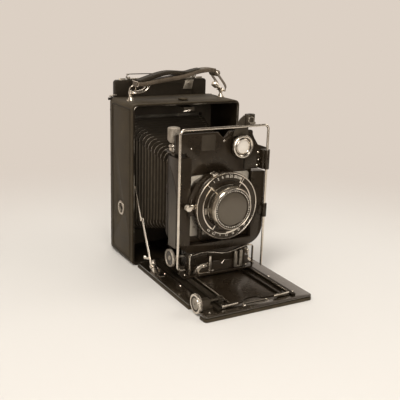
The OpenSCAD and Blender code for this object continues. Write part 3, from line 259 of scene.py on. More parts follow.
finish("dull_steel", (0.26, 0.225, 0.18), (0.44, 0.39, 0.32), metal=0.9, rough=0.30, rough_to=0.5,
       mottle=120, grain=("fine", 1500, 0.03), stretch=(1, 1, 3))
finish("blackened_steel", (0.016, 0.012, 0.007), (0.034, 0.026, 0.018), rough=0.38, rough_to=0.6,
       mottle=90, grain=("fine", 800, 0.05))
finish("paint_fill", (0.62, 0.56, 0.47), (0.75, 0.69, 0.60), rough=0.5, mottle=300,
       grain=("fine", 900, 0.02))
print("finishes:", ", ".join(sorted(FINISHES)))

# %% [markdown]
# ## Glass
# Two kinds of glass show, and the plate in the holder is a third, clear one. The front lens looks
# into a dark barrel, so it reads as a smoky disc with a soft reflection: a coated glass whose dark
# colour is painted shade. The finder's lens throws the bright sky back at the viewer and looks milky
# white, so it is a polished glass with hardly any transmission whose pale colour is a painted
# reflection of the sky.

# %% Glass finishes
def glass(name, color, transmission, rough, coat=0.0):
    """A finish that lets part of the light through."""
    mat = finish(name, color, [min(1, c * 1.12) for c in color], rough=rough, mottle=50,
                 grain=("fine", 60, 0.01), coat=coat)
    shader = mat.node_tree.nodes["Principled BSDF"]
    shader.inputs["Transmission Weight"].default_value = transmission
    shader.inputs["IOR"].default_value = 1.52


# Dark colour: painted shade from the inside of the barrel.
glass("lens_glass", (0.070, 0.058, 0.043), 0.1, 0.14, coat=0.3)
# Pale colour: painted reflection of the sky.
glass("sky_glass", (0.60, 0.555, 0.50), 0.05, 0.08, coat=0.2)
glass("clear_glass", (0.93, 0.91, 0.87), 0.92, 0.03)
print("finishes with glass:", len(FINISHES))

# %% [markdown]
# ## Tools for making pieces
# Most pieces are made in one of four ways: a mesh from rings of points, a wire along a curve, a
# turned profile, and a CAD solid with its edges softened. The last one matters most on a machine
# like this. Real metal has no razor edges, and a tiny bevel catches the line of light that the
# photograph shows along every edge.

# %% Putting a piece in place
def settle(obj, body, material, slot=None, smooth_under=35, replaced=()):
    """Smooths a piece, gives it its finish and lets it ride on its body."""
    obj.data.materials.clear()
    obj.data.materials.append(FINISHES[material])
    obj.data.shade_smooth()
    obj.data.set_sharp_from_angle(angle=math.radians(smooth_under))
    slot or material
    if replaced:
        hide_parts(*replaced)
    if body:
        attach(obj, body)
    return obj


def painted(obj, material, chosen):
    """Gives another finish to the faces whose centre (x, d, z), in millimetres, is chosen."""
    obj.data.materials.append(FINISHES[material])
    count = 0
    for face in obj.data.polygons:
        x, y, z = face.center
        if chosen(x / MM, ahead(y), z / MM):
            face.material_index = len(obj.data.materials) - 1
            count += 1
    print(obj.name, count, "faces in", material)


# %% [markdown]
# A lesson is easier to follow when each step says what it made. A small helper prints the pieces that
# are new since it last spoke.

# %% Telling what was made
told = set()


def tell(title):
    """Prints which pieces were made since the last telling."""
    fresh = [obj.name for obj in bpy.data.objects if obj.type == "MESH" and obj.name not in told]
    told.update(fresh)
    print(title + ":", len(fresh), "pieces,", ", ".join(fresh[:5]))


# %% [markdown]
# Modifiers and curve bevels are only recipes until they are applied. Applying them at once leaves
# plain meshes, and these behave the same in a render, in an export and on a moving body.

# %% Plain meshes
def new_object(name, mesh):
    """An object in the scene for a mesh or a curve."""
    obj = bpy.data.objects.new(name, mesh)
    bpy.context.scene.collection.objects.link(obj)
    return obj


def mesh_from(name, bm):
    """An object from a finished bmesh, with its faces turned outward."""
    bmesh.ops.recalc_face_normals(bm, faces=bm.faces)
    mesh = bpy.data.meshes.new(name)
    bm.to_mesh(mesh)
    bm.free()
    return new_object(name, mesh)


def baked(obj):
    """Applies an object's modifiers, or a curve's bevel, and leaves a plain mesh under its name."""
    graph = bpy.context.evaluated_depsgraph_get()
    graph.update()
    mesh = bpy.data.meshes.new_from_object(obj.evaluated_get(graph))
    name = obj.name
    place = obj.matrix_world.copy()
    bpy.data.objects.remove(obj)
    mesh.transform(place)
    made = new_object(name, mesh)
    made.name = name
    return made


def joined(name, pieces):
    """One mesh out of several, for a row of small things that belong together."""
    bm = bmesh.new()
    for piece in pieces:
        bm.from_mesh(piece.data)
        bpy.data.objects.remove(piece)
    return mesh_from(name, bm)


# %% [markdown]
# Tubes, plates and turned parts are all a skin over a row of closed rings. Building the skin face by
# face is a little more work than adding a cylinder, but then every face can get its own finish while
# it is made. A smooth line through a few chosen points spares typing many of them.

# %% Rings of points
CURVE_STEPS = 6


def from_rings(name, rings, closed=False, caps=True, painted_segments=None):
    """A skin over rings that all have the same number of points."""
    bm = bmesh.new()
    rows = [[bm.verts.new(p) for p in ring] for ring in rings]
    pairs = list(zip(rows, rows[1:]))
    if closed:
        pairs.append((rows[-1], rows[0]))
    for k, (a, b) in enumerate(pairs):
        n = len(a)
        for i in range(n):
            face = bm.faces.new((a[i], a[(i + 1) % n], b[(i + 1) % n], b[i]))
            if painted_segments:
                face.material_index = painted_segments(k, i)
    if caps and not closed:
        bm.faces.new(list(reversed(rows[0])))
        bm.faces.new(rows[-1])
    bmesh.ops.remove_doubles(bm, verts=bm.verts, dist=1e-7)
    return mesh_from(name, bm)


def smooth_line(points, steps=CURVE_STEPS):
    """A smooth line through all the points."""
    line = []
    for i in range(len(points) - 1):
        a, b = points[i], points[i + 1]
        before = points[max(i - 1, 0)]
        after = points[min(i + 2, len(points) - 1)]
        for k in range(steps):
            t = k / steps
            line.append(0.5 * (2 * a + (b - before) * t + (2 * before - 5 * a + 4 * b - after) * t ** 2
                               + (3 * a - before - 3 * b + after) * t ** 3))
    return line + [points[-1]]


# %% [markdown]
# A bevel modifier rounds every edge that is sharper than a chosen angle. The CAD mesh has its flat
# faces cut into triangles, and these are joined first, so that only the real edges are rounded.

# %% Softening a CAD solid
FLAT = math.radians(0.8)
SAME_PLACE = 2e-6
EDGE_STEPS = 2
EDGE_FROM = math.radians(32)
slots = {entry["node"]: entry["material_slot"] for entry in frame["record"]["subparts"]}


def softened(node, width, material):
    """A copy of a CAD node with its sharp edges rounded to width millimetres, which replaces it."""
    bm = bmesh.new()
    bm.from_mesh(nodes[node].data)
    bmesh.ops.remove_doubles(bm, verts=bm.verts, dist=SAME_PLACE)
    bmesh.ops.dissolve_limit(bm, angle_limit=FLAT, verts=bm.verts, edges=bm.edges)
    mesh = bpy.data.meshes.new(node + "_shown")
    bm.to_mesh(mesh)
    bm.free()
    obj = new_object(node + "_shown", mesh)
    edge = obj.modifiers.new("edge", "BEVEL")
    edge.width = width * MM
    edge.segments = EDGE_STEPS
    edge.limit_method = "ANGLE"
    edge.angle_limit = EDGE_FROM
    edge.use_clamp_overlap = True
    return settle(baked(obj), nodes[node]["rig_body"], material, slots[node], replaced=(node,))


# %% [markdown]
# Wires, worn edges and embossed lines are curves with a round bevel. A curve keeps its thickness
# through every bend, which a chain of cylinders would not.

# %% Wires
def wire(name, points, radius, material, body, smooth=True, closed=False, slot=None, sides=4, replaced=()):
    """A round wire of radius millimetres along points given with at()."""
    data = bpy.data.curves.new(name, "CURVE")
    data.dimensions = "3D"
    data.bevel_depth = radius * MM
    data.bevel_resolution = sides
    data.use_fill_caps = True
    line = smooth_line(points) if smooth else points
    if smooth and closed:
        overlap = 2 * CURVE_STEPS
        line = smooth_line(points[-2:] + points + points[:2])[overlap:-overlap]
    spline = data.splines.new("POLY")
    spline.points.add(len(line) - 1)
    for knot, p in zip(spline.points, line):
        knot.co = (*p, 1)
    spline.use_cyclic_u = closed
    return settle(baked(new_object(name, data)), body, material, slot or material, 40, replaced)


def rounded_loop(low, high, corner, place, steps=5):
    """Points round a rectangle from low to high with round corners, each made into a point by place."""
    points = []
    corners = ((high[0], high[1], 0), (low[0], high[1], 90), (low[0], low[1], 180), (high[0], low[1], 270))
    for u, v, start in corners:
        cu = u - corner if u == high[0] else u + corner
        cv = v - corner if v == high[1] else v + corner
        for k in range(steps + 1):
            a = math.radians(start + 90 * k / steps)
            points.append(place(cu + corner * math.cos(a), cv + corner * math.sin(a)))
    return points


# %% [markdown]
# Rings, knobs, screws and the barrel come off a lathe, and they are made the same way here: a profile
# of radius and height turns about an axis. The points that are marked in a profile move in and out
# as it turns, which mills the edge. Arcs and flat strips are swept from a section in the same spirit.

# %% Turned pieces
def turned(name, profile, center, axis, material, body, steps=96, wave=0.0, waves=0, slot=None,
           replaced=()):
    """Turns a profile of (radius, height) in millimetres about axis; wave cuts a milled edge in it."""
    turn = Vector((0, 0, 1)).rotation_difference(Vector(axis)).to_matrix()
    rings = []
    for k in range(steps):
        a = 2 * math.pi * k / steps
        cut = wave * (0.5 - 0.5 * math.cos(a * waves)) if waves else 0.0
        ring = []
        for entry in profile:
            r, h = entry[0], entry[1]
            r -= cut if len(entry) > 2 else 0
            ring.append(center + turn @ Vector((r * math.cos(a), r * math.sin(a), h)) * MM)
        rings.append(ring)
    obj = from_rings(name, rings, closed=True)
    return settle(obj, body, material, slot or material, 30, replaced)


def ring_place(d):
    """The point of the lens axis at depth d."""
    return at(LENS_SPOT[0], d, LENS_SPOT[1])


def outward(angle):
    """The direction from the lens axis at an angle in radians, clockwise from the top."""
    return Vector((math.sin(angle), 0, math.cos(angle)))


def arc_bar(name, inner, outer, start, stop, back, front, material):
    """Part of a flat ring round the lens axis, from start to stop degrees clockwise from the top."""
    rings = []
    count = round(abs(stop - start) / 3)
    for k in range(count + 1):
        way = outward(math.radians(start + (stop - start) * k / count))
        corners = ((inner, back), (outer, back), (outer, front), (inner, front))
        rings.append([ring_place(d) + way * r * MM for r, d in corners])
    return settle(from_rings(name, rings), "lens board", material, "nickel", 30)


STRIP_SECTION = ((-1, -0.5), (-0.8, -1), (0.8, -1), (1, -0.5), (1, 0.5), (0.8, 1), (-0.8, 1), (-1, 0.5))


def bar(name, ends, half_width, across, thick, material, body, slot=None, smooth=True):
    """A flat strip that follows points; across is the direction of its width, thick its thickness."""
    across = Vector(across).normalized()
    line = smooth_line(ends) if smooth and len(ends) > 2 else ends
    rings = []
    for k, p in enumerate(line):
        way = (line[min(k + 1, len(line) - 1)] - line[max(k - 1, 0)]).normalized()
        up = way.cross(across).normalized()
        ring = []
        for u, v in STRIP_SECTION:
            ring.append(p + across * u * half_width * MM + up * v * thick * 0.5 * MM)
        rings.append(ring)
    return settle(from_rings(name, rings), body, material, slot or material, 35)


def screw(name, center, axis, radius, body, material="nickel"):
    """A small screw or rivet head with a dimple, lying on a face whose normal is axis."""
    head = [(0, -0.3), (radius, -0.3), (radius, 0.2 * radius), (0.75 * radius, 0.5 * radius),
            (0.35 * radius, 0.6 * radius), (0.2 * radius, 0.35 * radius), (0, 0.3 * radius)]
    return turned(name, head, center, axis, material, body, steps=24)


print("tools ready")

# %% [markdown]
# ## Dressing the CAD solids
# Each metal piece that the CAD holds is shown as a softened copy, and the table below says how
# round its edges are, in millimetres. A stamped plate has nearly sharp edges, a cast or enamelled
# frame has rounder ones. The finish comes from the record's slot, so that both agree, and a few
# pieces get a lighter or darker grade of theirs. The right grip's darker steel is painted shade, as
# the two grips are a pair.

# %% Softened pieces
EDGES = {
    "body_shell": 0.35, "body_leather": 0.25, "back_frame": 0.4, "tripod_bushes": 0.3, "strap_posts": 0.3,
    "body_hinge": 0.2, "bed_release_button": 0.7, "bed_catch": 0.3, "plate_holder": 0.5,
    "holder_latch": 0.2, "dark_slide": 0.15, "bed_board": 0.5, "bed_liner": 0.3, "bed_hinge": 0.2,
    "track_guides": 0.25, "bed_fittings": 0.25, "focus_bearing": 0.5, "track_plate": 0.15,
    "track_rails": 0.25, "focus_pinion": 0.1, "strut_upper_left": 0.2, "strut_upper_right": 0.2,
    "strut_lower_left": 0.2, "strut_lower_right": 0.2, "carriage_base": 0.4, "pull_handle": 0.3,
    "grip_left": 0.4, "grip_right": 0.4, "standard_frame": 0.7, "standard_back": 0.4,
    "standard_foot": 0.6, "lens_board": 0.35, "frame_bracket": 0.35, "flange_plate": 0.3,
    "shutter_case": 0.35, "cocking_lever": 0.25, "release_lever": 0.4, "aperture_ring": 0.2,
    "rear_cell": 0.3, "finder_housing": 0.5, "finder_level": 0.8,
}
# grip_right's dull_steel is painted shade; the left grip of the pair keeps the record's finish.
OWN_FINISH = {"flange_plate": "brushed_plate", "bed_catch": "blackened_steel",
              "focus_pinion": "blackened_steel", "track_rails": "body_enamel",
              "track_guides": "body_enamel", "bed_liner": "liner_enamel", "grip_right": "dull_steel",
              "tripod_bushes": "dull_steel"}
shown = {}
for node, width in EDGES.items():
    shown[node] = softened(node, width, OWN_FINISH.get(node, slots[node]))
print("softened", len(EDGES), "nodes")

# %% [markdown]
# Some CAD solids are round already and need no softening. They are shown as they are with their
# finish. The pieces that get a richer form further down are not in this table.

# %% Solids that keep their shape
KEPT_ANGLE = math.radians(30)
# The lens glasses' dark colour is painted shade, the finder lens's pale colour a painted reflection.
KEPT = {
    "picture_gate": "blackened_steel", "glass_plate": "clear_glass", "focus_rack": "blackened_steel",
    "shutter_blades": "blackened_steel", "iris_blades": "blackened_steel", "wire_frame": "nickel",
    "lens_glasses": "lens_glass", "finder_lens": "sky_glass",
}
for node, material in KEPT.items():
    piece = nodes[node]
    piece.data.materials.clear()
    piece.data.materials.append(FINISHES[material])
    piece.data.shade_smooth()
    piece.data.set_sharp_from_angle(angle=KEPT_ANGLE)
tell("kept and softened solids")

# %% [markdown]
# A few solids carry a second finish: the rising nut on the lens board, the ring of the finder, the
# index of the aperture ring, the little plate on the carriage, the stops of the track, the keeper of
# the bed and the tab of the latch are bright. Picking the faces by their place is enough, because
# each of these stands clear of the rest of its solid.

# %% Second finishes
FINDER = (18.8, 120.3)
RISE = (-39.5, 50.5)


def off(a, b, spot):
    """How far (a, b) lies from a spot, in millimetres."""
    return math.hypot(a - spot[0], b - spot[1])


painted(shown["lens_board"], "nickel", lambda x, d, z: off(x, d, RISE) < 4.4 and 118.65 < z < 122.7)
painted(shown["finder_housing"], "nickel", lambda x, d, z: d > 65.25 and off(x, z, FINDER) < 10.1)
painted(shown["aperture_ring"], "dull_steel", lambda x, d, z: x < -16 and d > 74.65)
painted(shown["carriage_base"], "nickel", lambda x, d, z: -20.1 < x < -9.4 and d > 60.5 and z > 9.25)
painted(shown["track_rails"], "nickel", lambda x, d, z: d > 124.2)
painted(shown["bed_fittings"], "dull_steel", lambda x, d, z: abs(x) < 12.6 and d > 120)
painted(shown["holder_latch"], "dull_steel", lambda x, d, z: d > -53.2)

# %% [markdown]
# ## The body
# A thin bead runs round the front opening. On the real camera it is black with the metal worn
# through in places, and bright at the upper left corner, so it has two finishes. A wire along a
# rounded rectangle that stays open at the bottom, where the bed is hinged, is all it needs.

# %% Bead of the opening
rim_low, rim_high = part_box("opening_rim")
RIM_R = 0.42
RIM_D = 0.1
RIM_CORNER = 3.0
BELOW_HINGE = 9
rim_side = rim_high.x / MM - RIM_R
rim_top = rim_high.z / MM - RIM_R
rim_foot = rim_low.z / MM
rim_loop = rounded_loop((-rim_side, rim_foot - BELOW_HINGE), (rim_side, rim_top), RIM_CORNER,
                        lambda x, z: at(x, RIM_D, z))
rim_line = [p for p in rim_loop if p.z > rim_low.z]
rim_line = [at(rim_side, RIM_D, rim_foot)] + rim_line + [at(-rim_side, RIM_D, rim_foot)]
bead = wire("opening_bead", rim_line, RIM_R, "rubbed_edge", "camera body", smooth=False, slot="nickel",
            replaced=("opening_rim",))
painted(bead, "nickel", lambda x, d, z: x < -49.8 and z > 145.2)

# %% [markdown]
# The catch that holds the closed bed hangs under the top of the opening. It is blackened, and only
# the small polished eye at its tip shines.

# %% Eye of the bed catch
turned("catch_eye", [(0, -5.2), (0.7, -3.4), (1.0, -1.8), (1.5, -0.6), (1.5, 0.6), (1.0, 1.6), (0.6, 3.0),
                     (0, 4.6)], at(0.2, -1.2, 142.0), (1, 0, 0.1), "nickel", "camera body", steps=36)
tell("bead and eye")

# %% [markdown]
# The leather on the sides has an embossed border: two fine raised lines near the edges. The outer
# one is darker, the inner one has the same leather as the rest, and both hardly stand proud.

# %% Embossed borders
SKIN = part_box("body_leather")[1].x / MM
BORDERS = ((4.6, 0.6, "dark_leather"), (6.6, 0.45, "black_leather"))
BODY_SIDE = ((-51, 0.6), (0, 150))
BORDER_CORNER = 2.4


def side_border(side, inset, radius, material):
    """One raised line at inset millimetres from the edges of the body's side."""
    def place(d, z):
        return at(side * (SKIN - radius * 0.35), d, z)

    low = [edge + inset for edge in BODY_SIDE[0]]
    high = [edge - inset for edge in BODY_SIDE[1]]
    name = "border_%s_%d" % ("left" if side < 0 else "right", inset)
    wire(name, rounded_loop(low, high, BORDER_CORNER, place), radius, material, "camera body",
         smooth=False, closed=True, slot="black_leather", sides=2)


for side in (-1, 1):
    for inset, radius, material in BORDERS:
        side_border(side, inset, radius, material)
tell("borders")

# %% [markdown]
# The tripod bush in the side shows as a bright ring round a dark hole. The CAD has the bush, and a
# turned washer with a raised lip gives it the ring of light.

# %% Bush ring
bush = [mount for mount in frame["record"]["mounts"] if mount["name"] == "side_tripod_bush"][0]
bush_r = bush["dims"]["r_mm"]
turned("side_bush_ring", [(bush_r, -0.6), (bush_r + 1.1, -0.6), (bush_r + 1.1, 0.05),
                          (bush_r + 0.8, 0.25), (bush_r + 0.35, 0.25), (bush_r, 0.05)],
       Vector(bush["pos_m"]), (-1, 0, 0), "nickel", "camera body")
print("bush ring at", [round(v, 4) for v in bush["pos_m"]])

# %% [markdown]
# The back frame ends in a bright lip at its upper left corner, where the plate holder slides in.

# %% Lip of the back frame
bar("back_lip", at_depth(-52.5, ((-55.3, 150.6), (-52, 151.6), (-48.6, 152.0))), 1.6, (0, 1, 0), 0.8,
    "dull_steel", "camera body")

# %% [markdown]
# Small screws hold the flange of the back frame, three on each side. The flange lies before the rear
# face of the channels by their depth.

# %% Screws of the back frame
CHANNEL_DEPTH = 8.2
SCREW_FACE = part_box("back_frame")[1].y - CHANNEL_DEPTH * MM
for x in (-53.0, 53.0):
    for z in (12, 75, 138):
        screw("back_screw_%d_%d" % (x + 60, z), Vector((x * MM, SCREW_FACE, z * MM)), (0, 1, 0), 1.3,
              "camera body", "blackened_steel")
tell("back frame")

# %% [markdown]
# ## The bellows
# A folding bellows is a tapered tube of pleats. At its corners every fold is bent hard, which
# wears the leather, and a row of thin pale arcs shows there, partly wear and partly painted highlight.
# So each ring of points has a round corner, and the narrow crest of every pleat gets a worn finish
# with a painted highlight where it turns the corner. Along the left and right sides the crests get a
# painted sheen, which makes fine stripes. The tube crosses three sliding joints, so it is made in
# four lengths that meet in valleys.

# %% Bellows rings
REAR_END = -48.5
FRONT_END = 43.7
PLEATS = 20
PLEAT_DEPTH = 5.0
REAR_RING = (46.1, 20.5, 130.3, 9.5)
FRONT_RING = (28.0, 45.0, 103.0, 8.0)
PITCH = (FRONT_END - REAR_END) / PLEATS
FOLD_STEPS = ((0.0, 0.0), (0.07, 0.0), (0.46, 1.0), (0.55, 1.0), (0.64, 0.78), (0.93, 0.0), (1.0, 0.0))
CREST = 2
BELOW_CREST = 3
CORNER_STEPS = 4
# Segments of the left and right sides, whose crests get the painted sheen.
SHEEN_SIDE_SEGMENTS = (9, 19)


def bellows_ring(d, out):
    """A rectangle with round corners; out is 1 on a crest and 0 in a valley."""
    t = (d - REAR_END) / (FRONT_END - REAR_END)
    half, low, high, cut = (a + (b - a) * t for a, b in zip(REAR_RING, FRONT_RING))
    sink = PLEAT_DEPTH * (1 - out)
    points = []
    for sx, sz in ((1, 1), (-1, 1), (-1, -1), (1, -1)):
        edge_x = sx * (half - sink)
        edge_z = high - sink if sz > 0 else low + sink
        corner = []
        for k in range(CORNER_STEPS + 1):
            a = math.radians(90 * k / CORNER_STEPS)
            corner.append((edge_x - sx * cut * (1 - math.cos(a)), edge_z - sz * cut * (1 - math.sin(a))))
        points += at_depth(d, corner[::-1] if sx * sz < 0 else corner)
    return points


# %% [markdown]
# Every face of the tube knows its step along the fold and its place round the ring, and these two
# numbers say whether it gets painted sheen, wear with a painted highlight or plain leather. The
# leather gets its thickness behind the outer skin.

# %% Bellows lengths
# Plain leather, painted sheen, and wear with a painted highlight.
LEATHERS = ("bellows_leather", "rubbed_fold", "worn_fold")
LEATHER_THICK = 0.35
CREASE = math.radians(24)


def leather_for(step, segment):
    """Which of the three leathers a face gets: wear with a painted highlight on a crest's corners, painted
    sheen near the crests of the sides.
    """
    fold = step % (len(FOLD_STEPS) - 1)
    if segment % (CORNER_STEPS + 1) < CORNER_STEPS:
        return 2 if fold == CREST else 0
    return 1 if segment in SHEEN_SIDE_SEGMENTS and fold in (CREST, BELOW_CREST) else 0


def bellows_length(name, first, count, bodies, replaced):
    """One length of count pleats; the bodies at its two ends are not used."""
    rings = []
    for pleat in range(first, first + count):
        steps = FOLD_STEPS if pleat == first + count - 1 else FOLD_STEPS[:-1]
        rings += [bellows_ring(REAR_END + (pleat + f) * PITCH, out) for f, out in steps]
    obj = from_rings(name, rings, caps=False, painted_segments=leather_for)
    for leather in LEATHERS:
        obj.data.materials.append(FINISHES[leather])
    obj.data.shade_smooth()
    obj.data.set_sharp_from_angle(angle=CREASE)
    shell = obj.modifiers.new("shell", "SOLIDIFY")
    shell.thickness = LEATHER_THICK * MM
    shell.offset = -1
    obj = baked(obj)
    if replaced:
        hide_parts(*replaced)
    begin = REAR_END + first * PITCH
    height = LENS_SPOT[1]
    at(0, begin, height)
    at(0, begin + count * PITCH, height)
    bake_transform(obj)


LENGTHS = (("bellows_1", 8, ("camera body", "bed"), ("bellows",)),
           ("bellows_2", 5, ("bed", "focusing track"), ()),
           ("bellows_3", 6, ("focusing track", "carriage"), ()),
           ("bellows_4", 1, ("carriage", "standard"), ()))
first_pleat = 0
for name, count, bodies, replaced in LENGTHS:
    bellows_length(name, first_pleat, count, bodies, replaced)
    first_pleat += count
print("pleats:", first_pleat, "pitch", round(PITCH, 2), "mm")

# %% [markdown]
# ## The carrying strap
# The strap is a double band of leather. The lower layer runs almost straight from the left hook up to
# the right link, the upper one arches over its left half. A flat leather band is modelled directly:
# one cross-section with a groove near each edge, swept along a smooth line.

# %% Leather band
STRAP_D = -22
BAND_HALF = 5.8
BAND_STEPS = 8
TAPER_STEPS = 5
HALF_SECTION = ((-1, -0.4), (-0.93, -0.9), (-0.80, -1), (-0.76, -0.8), (-0.72, -1), (0.72, -1),
                (0.76, -0.8), (0.80, -1), (0.93, -0.9), (1, -0.4))
BAND_SECTION = HALF_SECTION + tuple((-u, -v) for u, v in HALF_SECTION)


def band(name, line, material, thick, half=BAND_HALF, replaced=()):
    """line is a list of (x, z); the band is 2 x half wide along the camera's depth."""
    path = smooth_line(at_depth(STRAP_D, line), BAND_STEPS)
    side = Vector(FORWARD)
    rings = []
    for k, p in enumerate(path):
        way = (path[min(k + 1, len(path) - 1)] - path[max(k - 1, 0)]).normalized()
        up = side.cross(way).normalized()
        end = min(k, len(path) - 1 - k)
        taper = 1 if end > TAPER_STEPS else 0.82 + 0.18 * math.sin(math.pi / 2 * end / TAPER_STEPS)
        wide = side * half * taper * MM
        high = up * thick * 0.5 * MM
        rings.append([p + wide * u + high * v for u, v in BAND_SECTION])
    settle(from_rings(name, rings), "strap", material, "strap_leather", 50, replaced)


LOWER_BAND = ((-43.0, 165.2), (-34, 165.6), (-24.5, 167.0), (-12, 168.8), (2.9, 171.0), (16.9, 174.6),
              (26, 176.2), (33, 176.6), (38.2, 175.9))
UPPER_BAND = ((-40, 166.8), (-36.8, 168.0), (-28, 170.8), (-19, 173.3), (-10, 174.6), (-1, 174.3),
              (8, 173.8), (15, 175.2), (22, 176.6))
band("strap_lower", LOWER_BAND, "strap_leather", 3.9, replaced=("strap_leather",))
band("strap_upper", UPPER_BAND, "dark_leather", 3.6, half=5.2)
tell("leather bands")

# %% [markdown]
# At its right end the band turns round a pin, and two flat links carry that pin down to the post. A
# bar joins the links at either end, and a turned clevis sits between them.

# %% Strap metalwork
PIN = (38.6, 174.2)
POST = (47.6, 157.0)
LINK_GAP = 7
LINK = ((37.2, 175.2), (40.0, 171.6), (43.8, 167.0), (46.8, 163.2), (48.2, 160.0), (47.2, 157.0))
turned("strap_end", [(0, -6.2), (2.4, -6.2), (2.9, -5.8), (2.9, 5.8), (2.4, 6.2), (0, 6.2)],
       at(PIN[0] + 0.8, STRAP_D, PIN[1] - 0.6), FORWARD, "strap_leather", "strap", steps=32)
for side in (1, -1):
    d = STRAP_D + side * LINK_GAP
    bar("strap_link_%d" % -d, at_depth(d, LINK), 1.15, (0.75, 0, 0.66), 0.9, "nickel", "strap")
    screw("strap_pin_%d" % -d, at(PIN[0], d + side * 0.4, PIN[1]), (0, -side, 0), 1.3, "strap")
for name, (x, z), radius in (("strap_pin_bar", PIN, 0.9), ("strap_post_bar", POST, 0.8)):
    wire(name, [at(x, STRAP_D - LINK_GAP, z), at(x, STRAP_D + LINK_GAP, z)], radius, "nickel", "strap",
         smooth=False)
turned("strap_clevis", [(0, -4.4), (2.0, -4.4), (2.8, -3.6), (2.9, 0.4), (2.2, 1.6), (1.5, 2.4),
                        (1.5, 4.6), (0, 5.2)],
       at(41.6, STRAP_D, 161.6), (0.82, 0, -0.57), "nickel", "strap", steps=36)

# %% [markdown]
# At the left a bent hook reaches from the post up into the band, with a small split ring beside it.
# The hook is a closed loop of wire: its two sides leave the post together, bend up and meet at the
# tip. One side is a list of points, and the other side mirrors them.

# %% Hook and ring
HOOK_HALF = 3.6
HOOK_SIDE = ((-44.5, 1, 157.4), (-39.5, 1, 157.6), (-34.4, 1, 159.0), (-30.6, 0.9, 162.6))
hook = [at(-47.6, STRAP_D - 1, 157.6)]
hook += [at(x, STRAP_D + HOOK_HALF * out, z) for x, out, z in HOOK_SIDE]
hook += [at(-29.8, STRAP_D, 165.0)]
hook += [at(x, STRAP_D - HOOK_HALF * out, z) for x, out, z in reversed(HOOK_SIDE)]
wire("strap_hook", hook, 0.95, "nickel", "strap", closed=True, replaced=("strap_fittings",))
RING_MIDDLE = (-45.6, STRAP_D + 1.2, 160.4)
RING_SIZE = (3.0, 1.4, 3.2)
RING_STEPS = 24
ring_line = []
for k in range(RING_STEPS):
    a = 2 * math.pi * k / RING_STEPS
    way = (math.cos(a), math.sin(a), math.sin(a))
    ring_line.append(at(*[mid + size * v for mid, size, v in zip(RING_MIDDLE, RING_SIZE, way)]))
wire("strap_ring", ring_line, 0.6, "nickel", "strap", smooth=False, closed=True)
bar("strap_keeper", at_depth(STRAP_D, ((-42.6, 163.0), (-41.8, 165.4), (-42.8, 167.6))), 6.3, (0, 1, 0),
    0.8, "nickel", "strap")
tell("strap metalwork")

# %% [markdown]
# ## The bail of the dark slide
# The dark slide is pulled by a thin wire loop with round corners that stands up behind the strap.

# %% Bail
bail_low, bail_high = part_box("dark_slide_bail")
BAIL_R = 0.42
BAIL_LOW = 2.4
BAIL_D = (ahead(bail_low.y) + ahead(bail_high.y)) / 2
BAIL_X = bail_high.x / MM - BAIL_R
BAIL_TOP = bail_high.z / MM - BAIL_R - BAIL_LOW
BAIL_FOOT = bail_low.z / MM + BAIL_R
BAIL_SIDE = ((4.2, BAIL_FOOT), (0.8, BAIL_FOOT), (0, BAIL_FOOT + 1), (0.2, BAIL_TOP - 2.2),
             (1.3, BAIL_TOP - 0.9), (3.0, BAIL_TOP - 0.2), (5.5, BAIL_TOP))
bail = at_depth(BAIL_D, [(inset - BAIL_X, z) for inset, z in BAIL_SIDE])
bail += at_depth(BAIL_D, [(BAIL_X - inset, z) for inset, z in reversed(BAIL_SIDE)])
wire("bail_wire", bail, BAIL_R, "rubbed_edge", "bail", slot="nickel", replaced=("dark_slide_bail",))
print("bail at depth", round(BAIL_D, 1))

# %% [markdown]
# ## The shutter's face
# Round the lens lie, from outside in: a thin milled ring of bright metal that sets the speed, a black
# band with the numbers, two bright arcs with a bright line at each end, a black trough with the index
# of the aperture, and the barrel. Each ring is a turned profile, so its lips and steps are real.

# %% Rings
CASE_FRONT = 71.0
FACE = CASE_FRONT + 3.45
turned("speed_ring_milled", [(26.6, 0), (29.1, 0), (29.5, 0.4, 1), (29.5, 3.1, 1), (29.2, 3.6), (28.9, 3.7),
                             (28.4, 3.5), (28.4, 2.2), (26.6, 2.2)], ring_place(CASE_FRONT + 0.3),
       FORWARD, "nickel", "speed ring", steps=480, wave=0.22, waves=120, replaced=("speed_ring",))
turned("dial_face", [(19.3, 0), (26.2, 0), (26.2, 2.9), (28.05, 2.9), (28.15, 3.3), (28.0, 3.45),
                     (22.5, 3.45), (22.3, 3.3), (22.3, 2.5), (19.3, 2.5)], ring_place(CASE_FRONT),
       FORWARD, "black_enamel", "lens board", steps=144, replaced=("shutter_dial",))
tell("speed ring and dial")

# %% [markdown]
# The two bright arcs and the radial lines are inlaid metal. The lines reach over the aperture ring,
# so they stand just clear of it.

# %% Arcs and radial lines
ARC_IN, ARC_OUT = 22.8, 23.8
ARC_BACK = FACE - 0.1
OVER_APERTURE = 75.05
arc_bar("arc_left", ARC_IN, ARC_OUT, -142, -42, ARC_BACK, FACE + 0.45, "nickel")
arc_bar("arc_right", ARC_IN, ARC_OUT, 30, 180, ARC_BACK, FACE + 0.45, "nickel")
arc_bar("arc_bottom", 24.0, 24.5, 150, 208, ARC_BACK, FACE + 0.2, "paint_fill")


def radial(name, angle, inner, outer, half_width, d):
    """A bright line from radius inner to outer, at angle degrees clockwise from the top."""
    a = math.radians(angle)
    ends = [ring_place(d) + outward(a) * r * MM for r in (inner, outer)]
    bar(name, ends, half_width, (math.cos(a), 0, -math.sin(a)), 0.35, "nickel", "lens board", smooth=False)


radial("line_top_left", -42, 19.6, 24.6, 0.85, OVER_APERTURE)
radial("line_left_out", -44, 24.6, 27.9, 0.3, FACE + 0.15)
radial("line_top_right", 34, 19.6, 27.9, 0.35, OVER_APERTURE)
radial("line_right_end", 30, 22.5, 27.4, 0.45, FACE + 0.3)
radial("line_low_left", -144, 19.6, 23.6, 0.5, OVER_APERTURE)
tell("arcs and lines")

# %% [markdown]
# The dial carries plain numbers: exposure times along the top and apertures along the bottom. Text
# objects with Blender's own font give the outlines, and the meshes made from them are joined.

